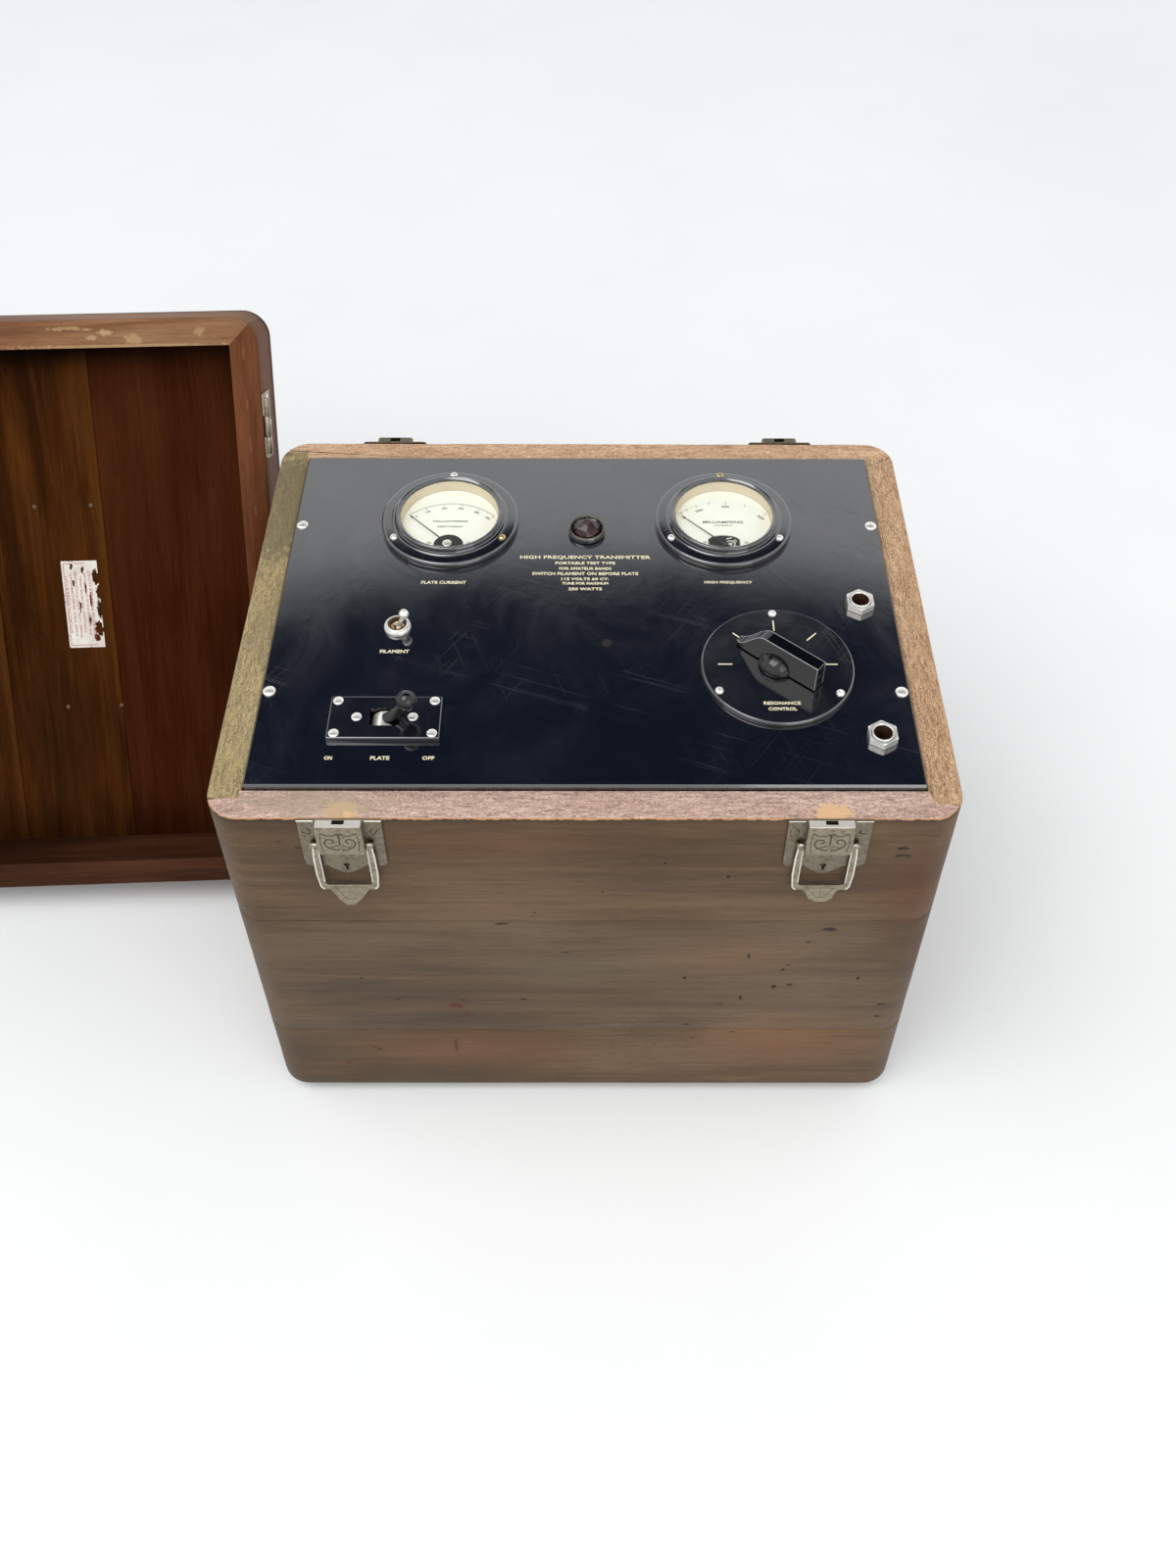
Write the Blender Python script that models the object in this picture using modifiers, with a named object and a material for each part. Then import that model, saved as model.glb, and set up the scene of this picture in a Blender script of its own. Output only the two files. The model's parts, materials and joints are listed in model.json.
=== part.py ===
"""Portable high-frequency transmitter in a wooden carrying case, with its lid taken off.

The case stands on the floor plane z = 0 and the lid stands beside it, leaning back.
Every length is in metres. The case is modelled about its own centre line under one empty,
and the lid about the centre of its rim under another, as it would lie closed on the case.
"""

import math

import bmesh
import bpy
from mathutils import Matrix, Vector

# Fits
GAP = 0.0003
MERGE = 0.00001

# Case
CASE_WIDTH = 0.4191
CASE_DEPTH = 0.3175
WALL = 0.01905
CASE_HEIGHT = 0.308
FOOT_HEIGHT = 0.0095
FOOT_RADIUS = 0.013
FOOT_INSET = 0.028
CORNER_RADIUS = 0.019
EDGE_ROUNDING = 0.0015
FLOOR_BOARD = 0.0127
RIM = FOOT_HEIGHT + CASE_HEIGHT

# Control panel
PANEL_WIDTH = CASE_WIDTH - 2 * WALL - 2 * GAP
PANEL_DEPTH = CASE_DEPTH - 2 * WALL - 2 * GAP
PANEL_THICKNESS = 0.00635
PANEL_PROUD = 0.00366
PANEL_TOP = RIM + PANEL_PROUD
LEDGE_WIDTH = 0.0105
LEDGE_HEIGHT = 0.0127

# Meters
METER_X = 0.0890
METER_Y = 0.0745
METER_FLANGE_RADIUS = 0.04445
METER_CAN_RADIUS = 0.0344
METER_CAN_DEPTH = 0.037
METER_HOLE_RADIUS = 0.0350
METER_RECESS_RADIUS = 0.0315
METER_SEAT = -0.0015
DIAL_THICKNESS = 0.0008
NEEDLE_PIVOT_Y = -0.0215
NEEDLE_LENGTH = 0.0385
NEEDLE_REST_ANGLE = math.radians(135)

# Pilot light
PILOT_Y = 0.065
PILOT_RADIUS = 0.0118
JEWEL_RADIUS = 0.0088

# Filament switch
FILAMENT_X = -0.1147
FILAMENT_Y = -0.0198
FILAMENT_PIVOT_Z = -0.001
FILAMENT_LEAN = math.radians(20)

# Plate switch
PLATE_X = -0.1151
PLATE_Y = -0.0930
PLATE_SIZE = (0.0645, 0.031)
PLATE_THICKNESS = 0.0032
PLATE_SLOT = (0.0174, 0.0125)
PLATE_PIVOT_Z = -0.006
PLATE_LEAN = math.radians(29.5)
PLATE_LEVER_LENGTH = 0.0276
PLATE_BALL_RADIUS = 0.0059
DRUM_RADIUS = 0.0086

# Resonance control
TUNER_X = 0.1137
TUNER_Y = -0.0521
RESONANCE_PLATE_RADIUS = 0.0454
RESONANCE_PLATE_THICKNESS = 0.003
KNOB_ANGLE = math.radians(140)
KNOB_REACH = 0.0287
KNOB_WIDTH = 0.009
KNOB_HEIGHT = 0.019
SHAFT_RADIUS = 0.003
TUNER_TOP = -0.010
TUNER_DEPTH = 0.070
TUNER_PITCH = 0.0068
ROTOR_VANES = 7

# Output jacks
JACK_X = 0.169
JACK_YS = (("rear", 0.0), ("front", -0.105))
JACK_BORE = 0.00535
JACK_RADIUS = 0.0066
JACK_DEPTH = 0.032
JACK_END = 0.003
JACK_BODY_RADIUS = 0.009
NUT_ACROSS_FLATS = 0.016
NUT_HEIGHT = 0.0045

# Catches and take-apart hinges
CATCH_X = 0.1345
CATCH_PLATE = (0.0465, 0.043)
CATCH_HOUSING = (0.026, 0.025, 0.0057)
BAIL_WIDTH = 0.0335
BAIL_STRIP = 0.0035
BAIL_PIVOT_DROP = 0.020
BAIL_LENGTH = 0.0425
BAIL_TOP = 0.0018
BAIL_FOOT = 0.0042
SHEET = 0.0012
SOCKET_PLATE = (0.044, 0.036)
SOCKET_HOUSING = (0.024, 0.022, 0.005)

# Works inside
CHASSIS_DECK = 0.068

# Lid
LID_DEPTH = 0.055
LID_BOARD = 0.0095
LID_ROUNDING = 0.003
LID_LEAN = math.radians(30.2)
LID_YAW = math.radians(2.4)
LID_CORNER_X = -0.2201
LID_CORNER_Y = 0.0443
HINGE_LEAF = (0.046, 0.024)
KNUCKLE_RADIUS = 0.0022
KNUCKLE_Z = 0.0027
HINGE_X = 0.1335
TONGUE_REACH = 0.0062
HANDLE_X = 0.0775
HANDLE_HEIGHT = 0.034

# Set so that case and lid together stand centred over the origin.
CASE_X = 0.1697
CASE_Y = -0.0428

FRAME = Vector((CASE_X, CASE_Y, 0))


def clear_scene():
    for item in list(bpy.data.objects):
        bpy.data.objects.remove(item, do_unlink=True)


def collection(name):
    group = bpy.data.collections.new(name)
    bpy.context.scene.collection.children.link(group)
    return group


clear_scene()
PARTS = collection("portable_transmitter")
CUTTERS = collection("cutters")


def finish(name, color, roughness, metallic):
    """A plain finish for one part."""
    item = bpy.data.materials.new(name)
    item.use_nodes = True
    shader = item.node_tree.nodes["Principled BSDF"]
    shader.inputs["Base Color"].default_value = (*color, 1)
    shader.inputs["Roughness"].default_value = roughness
    shader.inputs["Metallic"].default_value = metallic
    item.diffuse_color = (*color, 1)
    return item


LOOKS = {
    "wood": ((0.27, 0.19, 0.14), 0.55, 0.0),
    "lid_wood": ((0.20, 0.09, 0.05), 0.45, 0.0),
    "black": ((0.012, 0.012, 0.016), 0.18, 0.0),
    "nickel": ((0.62, 0.60, 0.55), 0.32, 1.0),
    "dial": ((0.86, 0.83, 0.73), 0.6, 0.0),
    "glass": ((0.9, 0.95, 0.95), 0.05, 0.0),
    "ruby": ((0.25, 0.01, 0.02), 0.08, 0.0),
    "steel": ((0.30, 0.31, 0.32), 0.45, 1.0),
    "copper": ((0.72, 0.38, 0.22), 0.35, 1.0),
    "fibre": ((0.16, 0.07, 0.04), 0.6, 0.0),
    "leather": ((0.10, 0.05, 0.03), 0.6, 0.0),
}


def empty(name, matrix):
    item = bpy.data.objects.new(name, None)
    PARTS.objects.link(item)
    item.matrix_world = matrix
    return item


CASE = empty("case_frame", Matrix.Translation(FRAME))


def add(name, mesh, look, parent=None, location=(0, 0, 0), rotation=(0, 0, 0)):
    """A named part with a material of its own, placed in its parent's frame."""
    item = bpy.data.objects.new(name, mesh)
    PARTS.objects.link(item)
    color, roughness, metallic = LOOKS[look]
    mesh.materials.clear()
    mesh.materials.append(finish(name, color, roughness, metallic))
    item.parent = parent or CASE
    item.location = location
    item.rotation_euler = rotation
    return item


def tool(item_name, mesh, part, location=(0, 0, 0), rotation=(0, 0, 0)):
    """A hidden body for a Boolean, placed in the frame of the part that it works on."""
    item = bpy.data.objects.new(item_name, mesh)
    CUTTERS.objects.link(item)
    item.parent = part
    item.location = location
    item.rotation_euler = rotation
    item.hide_render = True
    item.display_type = "WIRE"
    return item


def combine(part, other, operation):
    step = part.modifiers.new(other.name, "BOOLEAN")
    step.object = other
    step.operation = operation
    step.solver = "EXACT"
    return step


def cut(part, mesh, location=(0, 0, 0), rotation=(0, 0, 0)):
    name = part.name + "_cut" + str(len(part.modifiers))
    combine(part, tool(name, mesh, part, location, rotation), "DIFFERENCE")


def join(part, mesh, location=(0, 0, 0), rotation=(0, 0, 0)):
    name = part.name + "_join" + str(len(part.modifiers))
    combine(part, tool(name, mesh, part, location, rotation), "UNION")


def round_edges(part, width, segments=1, angle=40):
    bevel = part.modifiers.new("rounding", "BEVEL")
    bevel.width = width
    bevel.segments = segments
    bevel.limit_method = "ANGLE"
    bevel.angle_limit = math.radians(angle)
    return bevel


def box_mesh(size, centre=(0, 0, 0)):
    """A block of the given size about the given centre."""
    shape = bmesh.new()
    place = Matrix.Translation(centre) @ Matrix.Diagonal((*size, 1))
    bmesh.ops.create_cube(shape, size=1, matrix=place)
    mesh = bpy.data.meshes.new("box")
    shape.to_mesh(mesh)
    shape.free()
    return mesh


def rod_mesh(radius, length, centre=(0, 0, 0), axis="Z", sides=24, top=None):
    """A cylinder, or a cone frustum where the top radius is given, along one axis."""
    turns = {"X": Matrix.Rotation(math.pi / 2, 4, "Y"), "Y": Matrix.Rotation(-math.pi / 2, 4, "X")}
    shape = bmesh.new()
    bmesh.ops.create_cone(
        shape,
        cap_ends=True,
        segments=sides,
        radius1=radius,
        radius2=radius if top is None else top,
        depth=length,
        matrix=Matrix.Translation(centre) @ turns.get(axis, Matrix.Identity(4)),
    )
    mesh = bpy.data.meshes.new("rod")
    shape.to_mesh(mesh)
    shape.free()
    mesh.shade_smooth()
    mesh.set_sharp_from_angle(angle=math.radians(40))
    return mesh


def ball_mesh(radius, centre=(0, 0, 0), segments=16, rings=10):
    shape = bmesh.new()
    bmesh.ops.create_uvsphere(
        shape, u_segments=segments, v_segments=rings, radius=radius, matrix=Matrix.Translation(centre)
    )
    mesh = bpy.data.meshes.new("ball")
    shape.to_mesh(mesh)
    shape.free()
    mesh.shade_smooth()
    return mesh


def turned(name, profile, look, parent=None, location=(0, 0, 0), steps=40):
    """A turned part: the profile's (radius, height) points run down its outer side."""
    mesh = bpy.data.meshes.new(name)
    mesh.from_pydata([(r, 0, z) for r, z in profile], [(i, i + 1) for i in range(len(profile) - 1)], [])
    part = add(name, mesh, look, parent, location)
    screw = part.modifiers.new("turn", "SCREW")
    screw.axis = "Z"
    screw.angle = 2 * math.pi
    screw.steps = steps
    screw.render_steps = steps
    screw.use_merge_vertices = True
    screw.merge_threshold = MERGE
    screw.use_smooth_shade = True
    return part


def arc(centre, radius, start, end, count):
    """Points on a circular arc, angles in degrees."""
    points = []
    for i in range(count + 1):
        angle = math.radians(start + (end - start) * i / count)
        points.append((centre[0] + radius * math.cos(angle), centre[1] + radius * math.sin(angle)))
    return points


def plate_mesh(points, thickness):
    """A flat outline in X and Y with a thickness in Z, centred on z = 0."""
    data = bpy.data.curves.new("outline", "CURVE")
    data.dimensions = "2D"
    data.fill_mode = "BOTH"
    data.extrude = thickness / 2
    spline = data.splines.new("POLY")
    spline.points.add(len(points) - 1)
    for point, (x, y) in zip(spline.points, points):
        point.co = (x, y, 0, 1)
    spline.use_cyclic_u = True
    mesh = curve_to_mesh(data)
    shape = bmesh.new()
    shape.from_mesh(mesh)
    bmesh.ops.dissolve_limit(shape, angle_limit=math.radians(1), verts=shape.verts, edges=shape.edges)
    shape.to_mesh(mesh)
    shape.free()
    return mesh


def tube_mesh(points, radius, sides=3):
    """A round bar along a line of points, with its ends filled."""
    data = bpy.data.curves.new("bar", "CURVE")
    data.dimensions = "3D"
    data.bevel_depth = radius
    data.bevel_resolution = sides
    data.use_fill_caps = True
    spline = data.splines.new("POLY")
    spline.points.add(len(points) - 1)
    for point, place in zip(spline.points, points):
        point.co = (*place, 1)
    return curve_to_mesh(data)


def curve_to_mesh(data):
    """The closed mesh of a curve, with its loose caps welded on."""
    guide = bpy.data.objects.new("guide", data)
    bpy.context.scene.collection.objects.link(guide)
    graph = bpy.context.evaluated_depsgraph_get()
    mesh = bpy.data.meshes.new_from_object(guide.evaluated_get(graph))
    bpy.data.objects.remove(guide, do_unlink=True)
    shape = bmesh.new()
    shape.from_mesh(mesh)
    bmesh.ops.remove_doubles(shape, verts=shape.verts, dist=MERGE)
    bmesh.ops.recalc_face_normals(shape, faces=shape.faces)
    shape.to_mesh(mesh)
    shape.free()
    return mesh


def rounded_rectangle(width, depth, radius, steps=6):
    """Corner points of a rectangle whose corners are arcs."""
    points = []
    for sx, sy, start in ((1, 1, 0), (-1, 1, 90), (-1, -1, 180), (1, -1, 270)):
        centre = (sx * (width / 2 - radius), sy * (depth / 2 - radius))
        points += arc(centre, radius, start, start + 90, steps)
    return points


def board(name, length, height, location, turn):
    """A case wall: its left end is rounded over and laps past the wall beside it."""
    points = [(length / 2, -WALL / 2), (length / 2, WALL / 2), (-length / 2, WALL / 2)]
    centre = (-length / 2 + CORNER_RADIUS, -WALL / 2 + CORNER_RADIUS)
    points += arc(centre, CORNER_RADIUS, 180, 270, 8)
    wall = add(name, plate_mesh(points, height), "wood", location=location, rotation=(0, 0, turn))
    round_edges(wall, EDGE_ROUNDING)
    return wall


def case():
    """Four walls that lap each other round the corners, a floor board and four feet."""
    middle = FOOT_HEIGHT + CASE_HEIGHT / 2
    long_wall = CASE_WIDTH - WALL - GAP
    short_wall = CASE_DEPTH - WALL - GAP
    lap = (WALL + GAP) / 2
    half_x = (CASE_WIDTH - WALL) / 2
    half_y = (CASE_DEPTH - WALL) / 2
    board("case_front", long_wall, CASE_HEIGHT, (-lap, -half_y, middle), 0)
    board("case_right", short_wall, CASE_HEIGHT, (half_x, -lap, middle), math.pi / 2)
    board("case_back", long_wall, CASE_HEIGHT, (lap, half_y, middle), math.pi)
    board("case_left", short_wall, CASE_HEIGHT, (-half_x, lap, middle), -math.pi / 2)
    size = (PANEL_WIDTH, PANEL_DEPTH, FLOOR_BOARD)
    add("case_floor", box_mesh(size), "wood", location=(0, 0, FOOT_HEIGHT + FLOOR_BOARD / 2))
    for side, sx in (("left", -1), ("right", 1)):
        for end, sy in (("front", -1), ("back", 1)):
            place = (sx * (CASE_WIDTH / 2 - FOOT_INSET), sy * (CASE_DEPTH / 2 - FOOT_INSET), 0)
            tip = FOOT_RADIUS - 0.002
            profile = [(0, FOOT_HEIGHT - GAP), (FOOT_RADIUS, FOOT_HEIGHT - GAP)]
            profile += [(FOOT_RADIUS, 0.0015), (tip, 0), (0, 0)]
            turned("foot_" + end + "_" + side, profile, "black", location=place, steps=16)


def ledge():
    """The frame inside the walls that the control panel is screwed down on."""
    top = PANEL_TOP - PANEL_THICKNESS - GAP
    place = (0, 0, top - LEDGE_HEIGHT / 2)
    frame = add("panel_ledge", box_mesh((PANEL_WIDTH, PANEL_DEPTH, LEDGE_HEIGHT)), "wood", location=place)
    inner = (PANEL_WIDTH - 2 * LEDGE_WIDTH, PANEL_DEPTH - 2 * LEDGE_WIDTH, 2 * LEDGE_HEIGHT)
    cut(frame, box_mesh(inner))


def panel():
    """The moulded sheet, with a hole for everything that passes through it."""
    place = (0, 0, PANEL_TOP - PANEL_THICKNESS / 2)
    size = (PANEL_WIDTH, PANEL_DEPTH, PANEL_THICKNESS)
    sheet = add("control_panel", box_mesh(size), "black", location=place)
    round_edges(sheet, 0.0012)
    through = 3 * PANEL_THICKNESS
    for sx in (-1, 1):
        cut(sheet, rod_mesh(METER_HOLE_RADIUS, through, sides=40), (sx * METER_X, METER_Y, 0))
    cut(sheet, rod_mesh(0.0071, through, sides=20), (0, PILOT_Y, 0))
    cut(sheet, rod_mesh(0.0062, through, sides=20), (FILAMENT_X, FILAMENT_Y, 0))
    cut(sheet, box_mesh((0.024, 0.0155, through)), (PLATE_X, PLATE_Y, 0))
    cut(sheet, rod_mesh(0.005, through, sides=20), (TUNER_X, TUNER_Y, 0))
    for _, y in JACK_YS:
        cut(sheet, rod_mesh(JACK_RADIUS + GAP, through, sides=24), (JACK_X, y, 0))


def meter(side, x):
    """A flush panel meter: moulded case, printed dial, pivoted needle and glass."""
    place = (x, METER_Y, PANEL_TOP)
    recess = METER_RECESS_RADIUS + GAP
    profile = [(0, METER_SEAT), (recess, METER_SEAT), (recess, 0.0092)]
    profile += [(0.0328, 0.0098), (0.0345, 0.0096), (0.0353, 0.0086), (0.0357, 0.0058)]
    profile += [(0.0430, 0.0056), (METER_FLANGE_RADIUS, 0.0044), (METER_FLANGE_RADIUS, GAP)]
    profile += [(METER_CAN_RADIUS, GAP), (METER_CAN_RADIUS, -METER_CAN_DEPTH), (0, -METER_CAN_DEPTH)]
    turned("meter_case_" + side, profile, "black", location=place, steps=36)
    low = METER_SEAT + GAP
    top = low + DIAL_THICKNESS
    disc = rod_mesh(METER_RECESS_RADIUS, DIAL_THICKNESS, (0, 0, low + DIAL_THICKNESS / 2), sides=40)
    add("meter_dial_" + side, disc, "dial", location=place)
    pane = rod_mesh(METER_RECESS_RADIUS, 0.0014, (0, 0, 0.0079), sides=40)
    add("meter_glass_" + side, pane, "glass", location=place)
    pivot = (x, METER_Y + NEEDLE_PIVOT_Y, PANEL_TOP)
    needle = add("meter_needle_" + side, rod_mesh(0.0022, 0.0022, (0, 0, top + GAP + 0.0011), sides=12),
                 "steel", location=pivot, rotation=(0, 0, NEEDLE_REST_ANGLE))
    pointer = box_mesh((NEEDLE_LENGTH + 0.006, 0.0005, 0.0005), (NEEDLE_LENGTH / 2 - 0.003, 0, top + 0.0014))
    join(needle, pointer)


def pilot():
    """A jewel in a collar, lit from below by a small lamp in its holder."""
    place = (0, PILOT_Y, PANEL_TOP)
    collar = [(JEWEL_RADIUS + 0.0004, 0.0012), (JEWEL_RADIUS + 0.0004, 0.0034), (0.0100, 0.0038)]
    collar += [(PILOT_RADIUS - 0.0006, 0.0026), (PILOT_RADIUS, 0.0012), (PILOT_RADIUS, GAP)]
    collar += [(0.0068, GAP), (0.0068, -0.014), (0.0055, -0.014), (0.0055, 0.0012)]
    bezel = turned("pilot_bezel", collar, "black", location=place, steps=20)
    close_ring(bezel)
    jewel = [(0, 0.0090), (0.0042, 0.0090), (0.0071, 0.0066), (JEWEL_RADIUS, 0.0034), (JEWEL_RADIUS, 0.0015)]
    jewel += [(0, 0.0015)]
    turned("pilot_jewel", jewel, "ruby", location=place, steps=12)
    lamp = [(0, -0.002)] + [(r, z) for r, z in reversed(arc((0, -0.006), 0.0045, 0, 60, 4))]
    lamp += [(0.0045, -0.0150), (0.0070, -0.0150), (0.0070, -0.034), (0, -0.034)]
    turned("pilot_lamp", lamp, "fibre", location=place, steps=10)


def close_ring(part):
    """Joins the last profile point to the first, for a ring that has no point on its axis."""
    mesh = part.data
    shape = bmesh.new()
    shape.from_mesh(mesh)
    shape.verts.ensure_lookup_table()
    first = shape.verts[0]
    last = shape.verts[-1]
    if (first.co - last.co).length < MERGE:
        bmesh.ops.pointmerge(shape, verts=[first, last], merge_co=first.co)
    else:
        shape.edges.new((last, first))
    shape.to_mesh(mesh)
    shape.free()


def filament_switch():
    """A toggle switch: body under the panel, ring nut on top, ball-ended lever."""
    place = (FILAMENT_X, FILAMENT_Y, PANEL_TOP)
    block = box_mesh((0.028, 0.016, 0.022), (0, 0, -0.0185))
    body = add("filament_switch_body", block, "fibre", location=place)
    join(body, rod_mesh(0.0059, 0.0115, (0, 0, -0.0021), sides=20))
    cut(body, rod_mesh(0.0026, 0.010, (0, 0, 0), top=0.0050, sides=20))
    ring = [(0.0061, 0.0030), (0.0066, 0.0034), (0.0074, 0.0033), (0.00815, 0.0022), (0.00815, GAP)]
    ring += [(0.0061, GAP)]
    nut = turned("filament_switch_nut", ring, "nickel", location=place, steps=24)
    close_ring(nut)
    pivot = (FILAMENT_X, FILAMENT_Y, PANEL_TOP + FILAMENT_PIVOT_Z)
    stalk = [(0, 0.0169)] + [(r, z) for r, z in reversed(arc((0, 0.0138), 0.0031, -55, 75, 8))]
    stalk += [(0.0013, 0.0085), (0.0017, 0.0030), (0.0014, -0.0015), (0, -0.0022)]
    lever = turned("filament_lever", stalk, "nickel", location=pivot, steps=14)
    lever.rotation_euler = (0, FILAMENT_LEAN, 0)


def plate_switch():
    """A tumbler switch: cover plate, body under the panel, drum and ball-ended lever."""
    place = (PLATE_X, PLATE_Y, PANEL_TOP)
    size = (*PLATE_SIZE, PLATE_THICKNESS)
    sheet = box_mesh(size, (0, 0, GAP + PLATE_THICKNESS / 2))
    cover = add("plate_switch_plate", sheet, "black", location=place)
    round_edges(cover, 0.0008)
    cut(cover, box_mesh((*PLATE_SLOT, 3 * PLATE_THICKNESS)))
    top = -PANEL_THICKNESS - GAP
    block = box_mesh((0.056, 0.028, 0.036), (0, 0, top - 0.018))
    body = add("plate_switch_body", block, "fibre", location=place)
    cut(body, box_mesh((0.020, 0.0135, 0.024), (0, 0, top)))
    pivot = (PLATE_X, PLATE_Y, PANEL_TOP + PLATE_PIVOT_Z)
    lever = add("plate_lever", rod_mesh(DRUM_RADIUS, 0.011, axis="Y", sides=28), "black",
                location=pivot, rotation=(0, PLATE_LEAN, 0))
    join(lever, rod_mesh(0.0028, 0.022, (0, 0, 0.0155), top=0.0020, sides=16))
    join(lever, ball_mesh(PLATE_BALL_RADIUS, (0, 0, PLATE_LEVER_LENGTH)))


def knob_outline():
    """Side view of the pointer knob: flat top, square tail, swan neck down to a low tip."""
    tail = -KNOB_REACH + 0.0007
    points = [(tail, 0.0008), (KNOB_REACH, 0.0008), (KNOB_REACH, 0.0018)]
    rise = KNOB_HEIGHT - 0.0055
    for i in range(1, 9):
        t = i / 8
        ease = t * t * (3 - 2 * t)
        points.append((KNOB_REACH - 0.0185 * t, 0.0018 + 0.0037 * t + rise * ease))
    points += [(0.0075, KNOB_HEIGHT), (tail + 0.0006, KNOB_HEIGHT)]
    return points


def tuner():
    """Marked plate, pointer knob, and the variable condenser that it turns."""
    place = (TUNER_X, TUNER_Y, PANEL_TOP)
    thick = RESONANCE_PLATE_THICKNESS
    edge = RESONANCE_PLATE_RADIUS
    disc = [(0.0045, thick + GAP), (edge - 0.001, thick + GAP), (edge, thick - 0.0007), (edge, GAP)]
    disc += [(0.0045, GAP)]
    close_ring(turned("resonance_plate", disc, "black", location=place, steps=48))
    top = PANEL_TOP + thick + 2 * GAP
    knob = add("resonance_knob", plate_mesh(knob_outline(), KNOB_WIDTH), "black",
               location=(TUNER_X, TUNER_Y, top), rotation=(0, 0, KNOB_ANGLE))
    knob.data.transform(Matrix.Rotation(math.pi / 2, 4, "X"))
    round_edges(knob, 0.0006)
    join(knob, rod_mesh(0.0115, 0.0092, (0, 0, 0.0050), top=0.0072, sides=28))
    cut(knob, rod_mesh(SHAFT_RADIUS + 0.0002, 0.020, (0, 0, 0), sides=16))
    rails(place)
    rotor(place)


def half_disc(radius, bore, thickness, start):
    """A vane: half a disc with a round notch at its centre."""
    points = arc((0, 0), radius, start, start + 180, 10)
    points += arc((0, 0), bore, start + 180, start, 4)
    return plate_mesh(points, thickness)


def rails(place):
    """The tuning condenser's fixed half: end plates, corner rods and stator vanes."""
    low = TUNER_TOP - TUNER_DEPTH
    size = (0.066, 0.066, 0.002)
    frame = add("tuning_condenser_frame", box_mesh(size, (0, 0, TUNER_TOP - 0.001)), "steel", location=place)
    join(frame, box_mesh(size, (0, 0, low + 0.001)))
    for sx in (-1, 1):
        for sy in (-1, 1):
            middle = (sx * 0.0285, sy * 0.0285, TUNER_TOP - TUNER_DEPTH / 2)
            join(frame, rod_mesh(0.003, TUNER_DEPTH - 0.001, middle, sides=10))
    for i in range(ROTOR_VANES - 1):
        height = TUNER_TOP - 0.016 - TUNER_PITCH * (i + 0.5)
        vane = box_mesh((0.060, 0.026, 0.0012), (0, -0.0170, height))
        join(frame, vane)
    cut(frame, rod_mesh(SHAFT_RADIUS + 0.0012, 2 * TUNER_DEPTH + 0.05, sides=16))


def rotor(place):
    """The tuning condenser's moving half: the shaft up into the knob, and its vanes."""
    top = RESONANCE_PLATE_THICKNESS + 2 * GAP + 0.0095
    low = TUNER_TOP - TUNER_DEPTH - 0.006
    shaft = rod_mesh(SHAFT_RADIUS, top - low, (0, 0, (top + low) / 2), sides=16)
    moving = add("tuning_condenser_rotor", shaft, "steel", location=place)
    for i in range(ROTOR_VANES):
        height = TUNER_TOP - 0.016 - TUNER_PITCH * i
        vane = half_disc(0.0240, SHAFT_RADIUS - 0.001, 0.0012, 0)
        join(moving, vane, (0, 0, height))


def jacks():
    """Two output jacks: a deep bushing through the panel, and the hexagon nut on it."""
    corner = NUT_ACROSS_FLATS / math.sqrt(3)
    neck = JACK_RADIUS - 0.0002
    for name, y in JACK_YS:
        place = (JACK_X, y, PANEL_TOP)
        bushing = [(0, -JACK_DEPTH + JACK_END), (JACK_BORE, -JACK_DEPTH + JACK_END)]
        bushing += [(JACK_BORE, 0.0052), (0.0060, 0.0056), (neck, 0.0050)]
        bushing += [(neck, -PANEL_THICKNESS - GAP), (JACK_BODY_RADIUS, -PANEL_THICKNESS - GAP)]
        bushing += [(JACK_BODY_RADIUS, -JACK_DEPTH), (0, -JACK_DEPTH)]
        turned("output_jack_" + name, bushing, "nickel", location=place, steps=20)
        nut = add("jack_nut_" + name, rod_mesh(corner, NUT_HEIGHT, (0, 0, GAP + NUT_HEIGHT / 2), sides=6),
                  "nickel", location=place)
        cut(nut, rod_mesh(JACK_RADIUS + 0.0001, 3 * NUT_HEIGHT, sides=24))


def catches():
    """Two draw catches on the front: plate with raised housing, and the swinging bail."""
    face = -CASE_DEPTH / 2
    for side, sx in (("left", -1), ("right", 1)):
        place = (sx * CATCH_X, face, RIM)
        width, drop = CATCH_PLATE
        plate = add("catch_" + side, box_mesh((width, SHEET, drop), (0, -GAP - SHEET / 2, -drop / 2)),
                    "nickel", location=place)
        join(plate, box_mesh((0.014, SHEET, 0.014), (0, -GAP - SHEET / 2, -drop)))
        wide, tall, deep = CATCH_HOUSING
        join(plate, box_mesh((wide, deep, tall), (0, -GAP - SHEET / 2 - deep / 2, 0.001 - tall / 2)))
        cut(plate, box_mesh((0.0068, 0.0028, 0.022), (0, -GAP - SHEET - 0.0024, 0.003)))
        bail(side, (sx * CATCH_X, face - 0.0036, RIM - BAIL_PIVOT_DROP))


def bail(side, pivot):
    """A stamped loop that hangs from the housing, with a finger tab curled outward."""
    inner = BAIL_WIDTH - 2 * BAIL_STRIP
    length = BAIL_LENGTH + BAIL_TOP
    loop = add("catch_bail_" + side, box_mesh((BAIL_WIDTH, 0.0016, length), (0, 0, BAIL_TOP - length / 2)),
               "nickel", location=pivot)
    round_edges(loop, 0.0005)
    cut(loop, box_mesh((inner, 0.01, length), (0, 0, BAIL_TOP - length / 2 + BAIL_FOOT)))
    tab = plate_mesh(rounded_rectangle(0.015, 0.012, 0.004, 3), 0.0014)
    join(loop, tab, (0, -0.0026, -BAIL_LENGTH - 0.0026), (math.radians(62), 0, 0))


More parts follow.
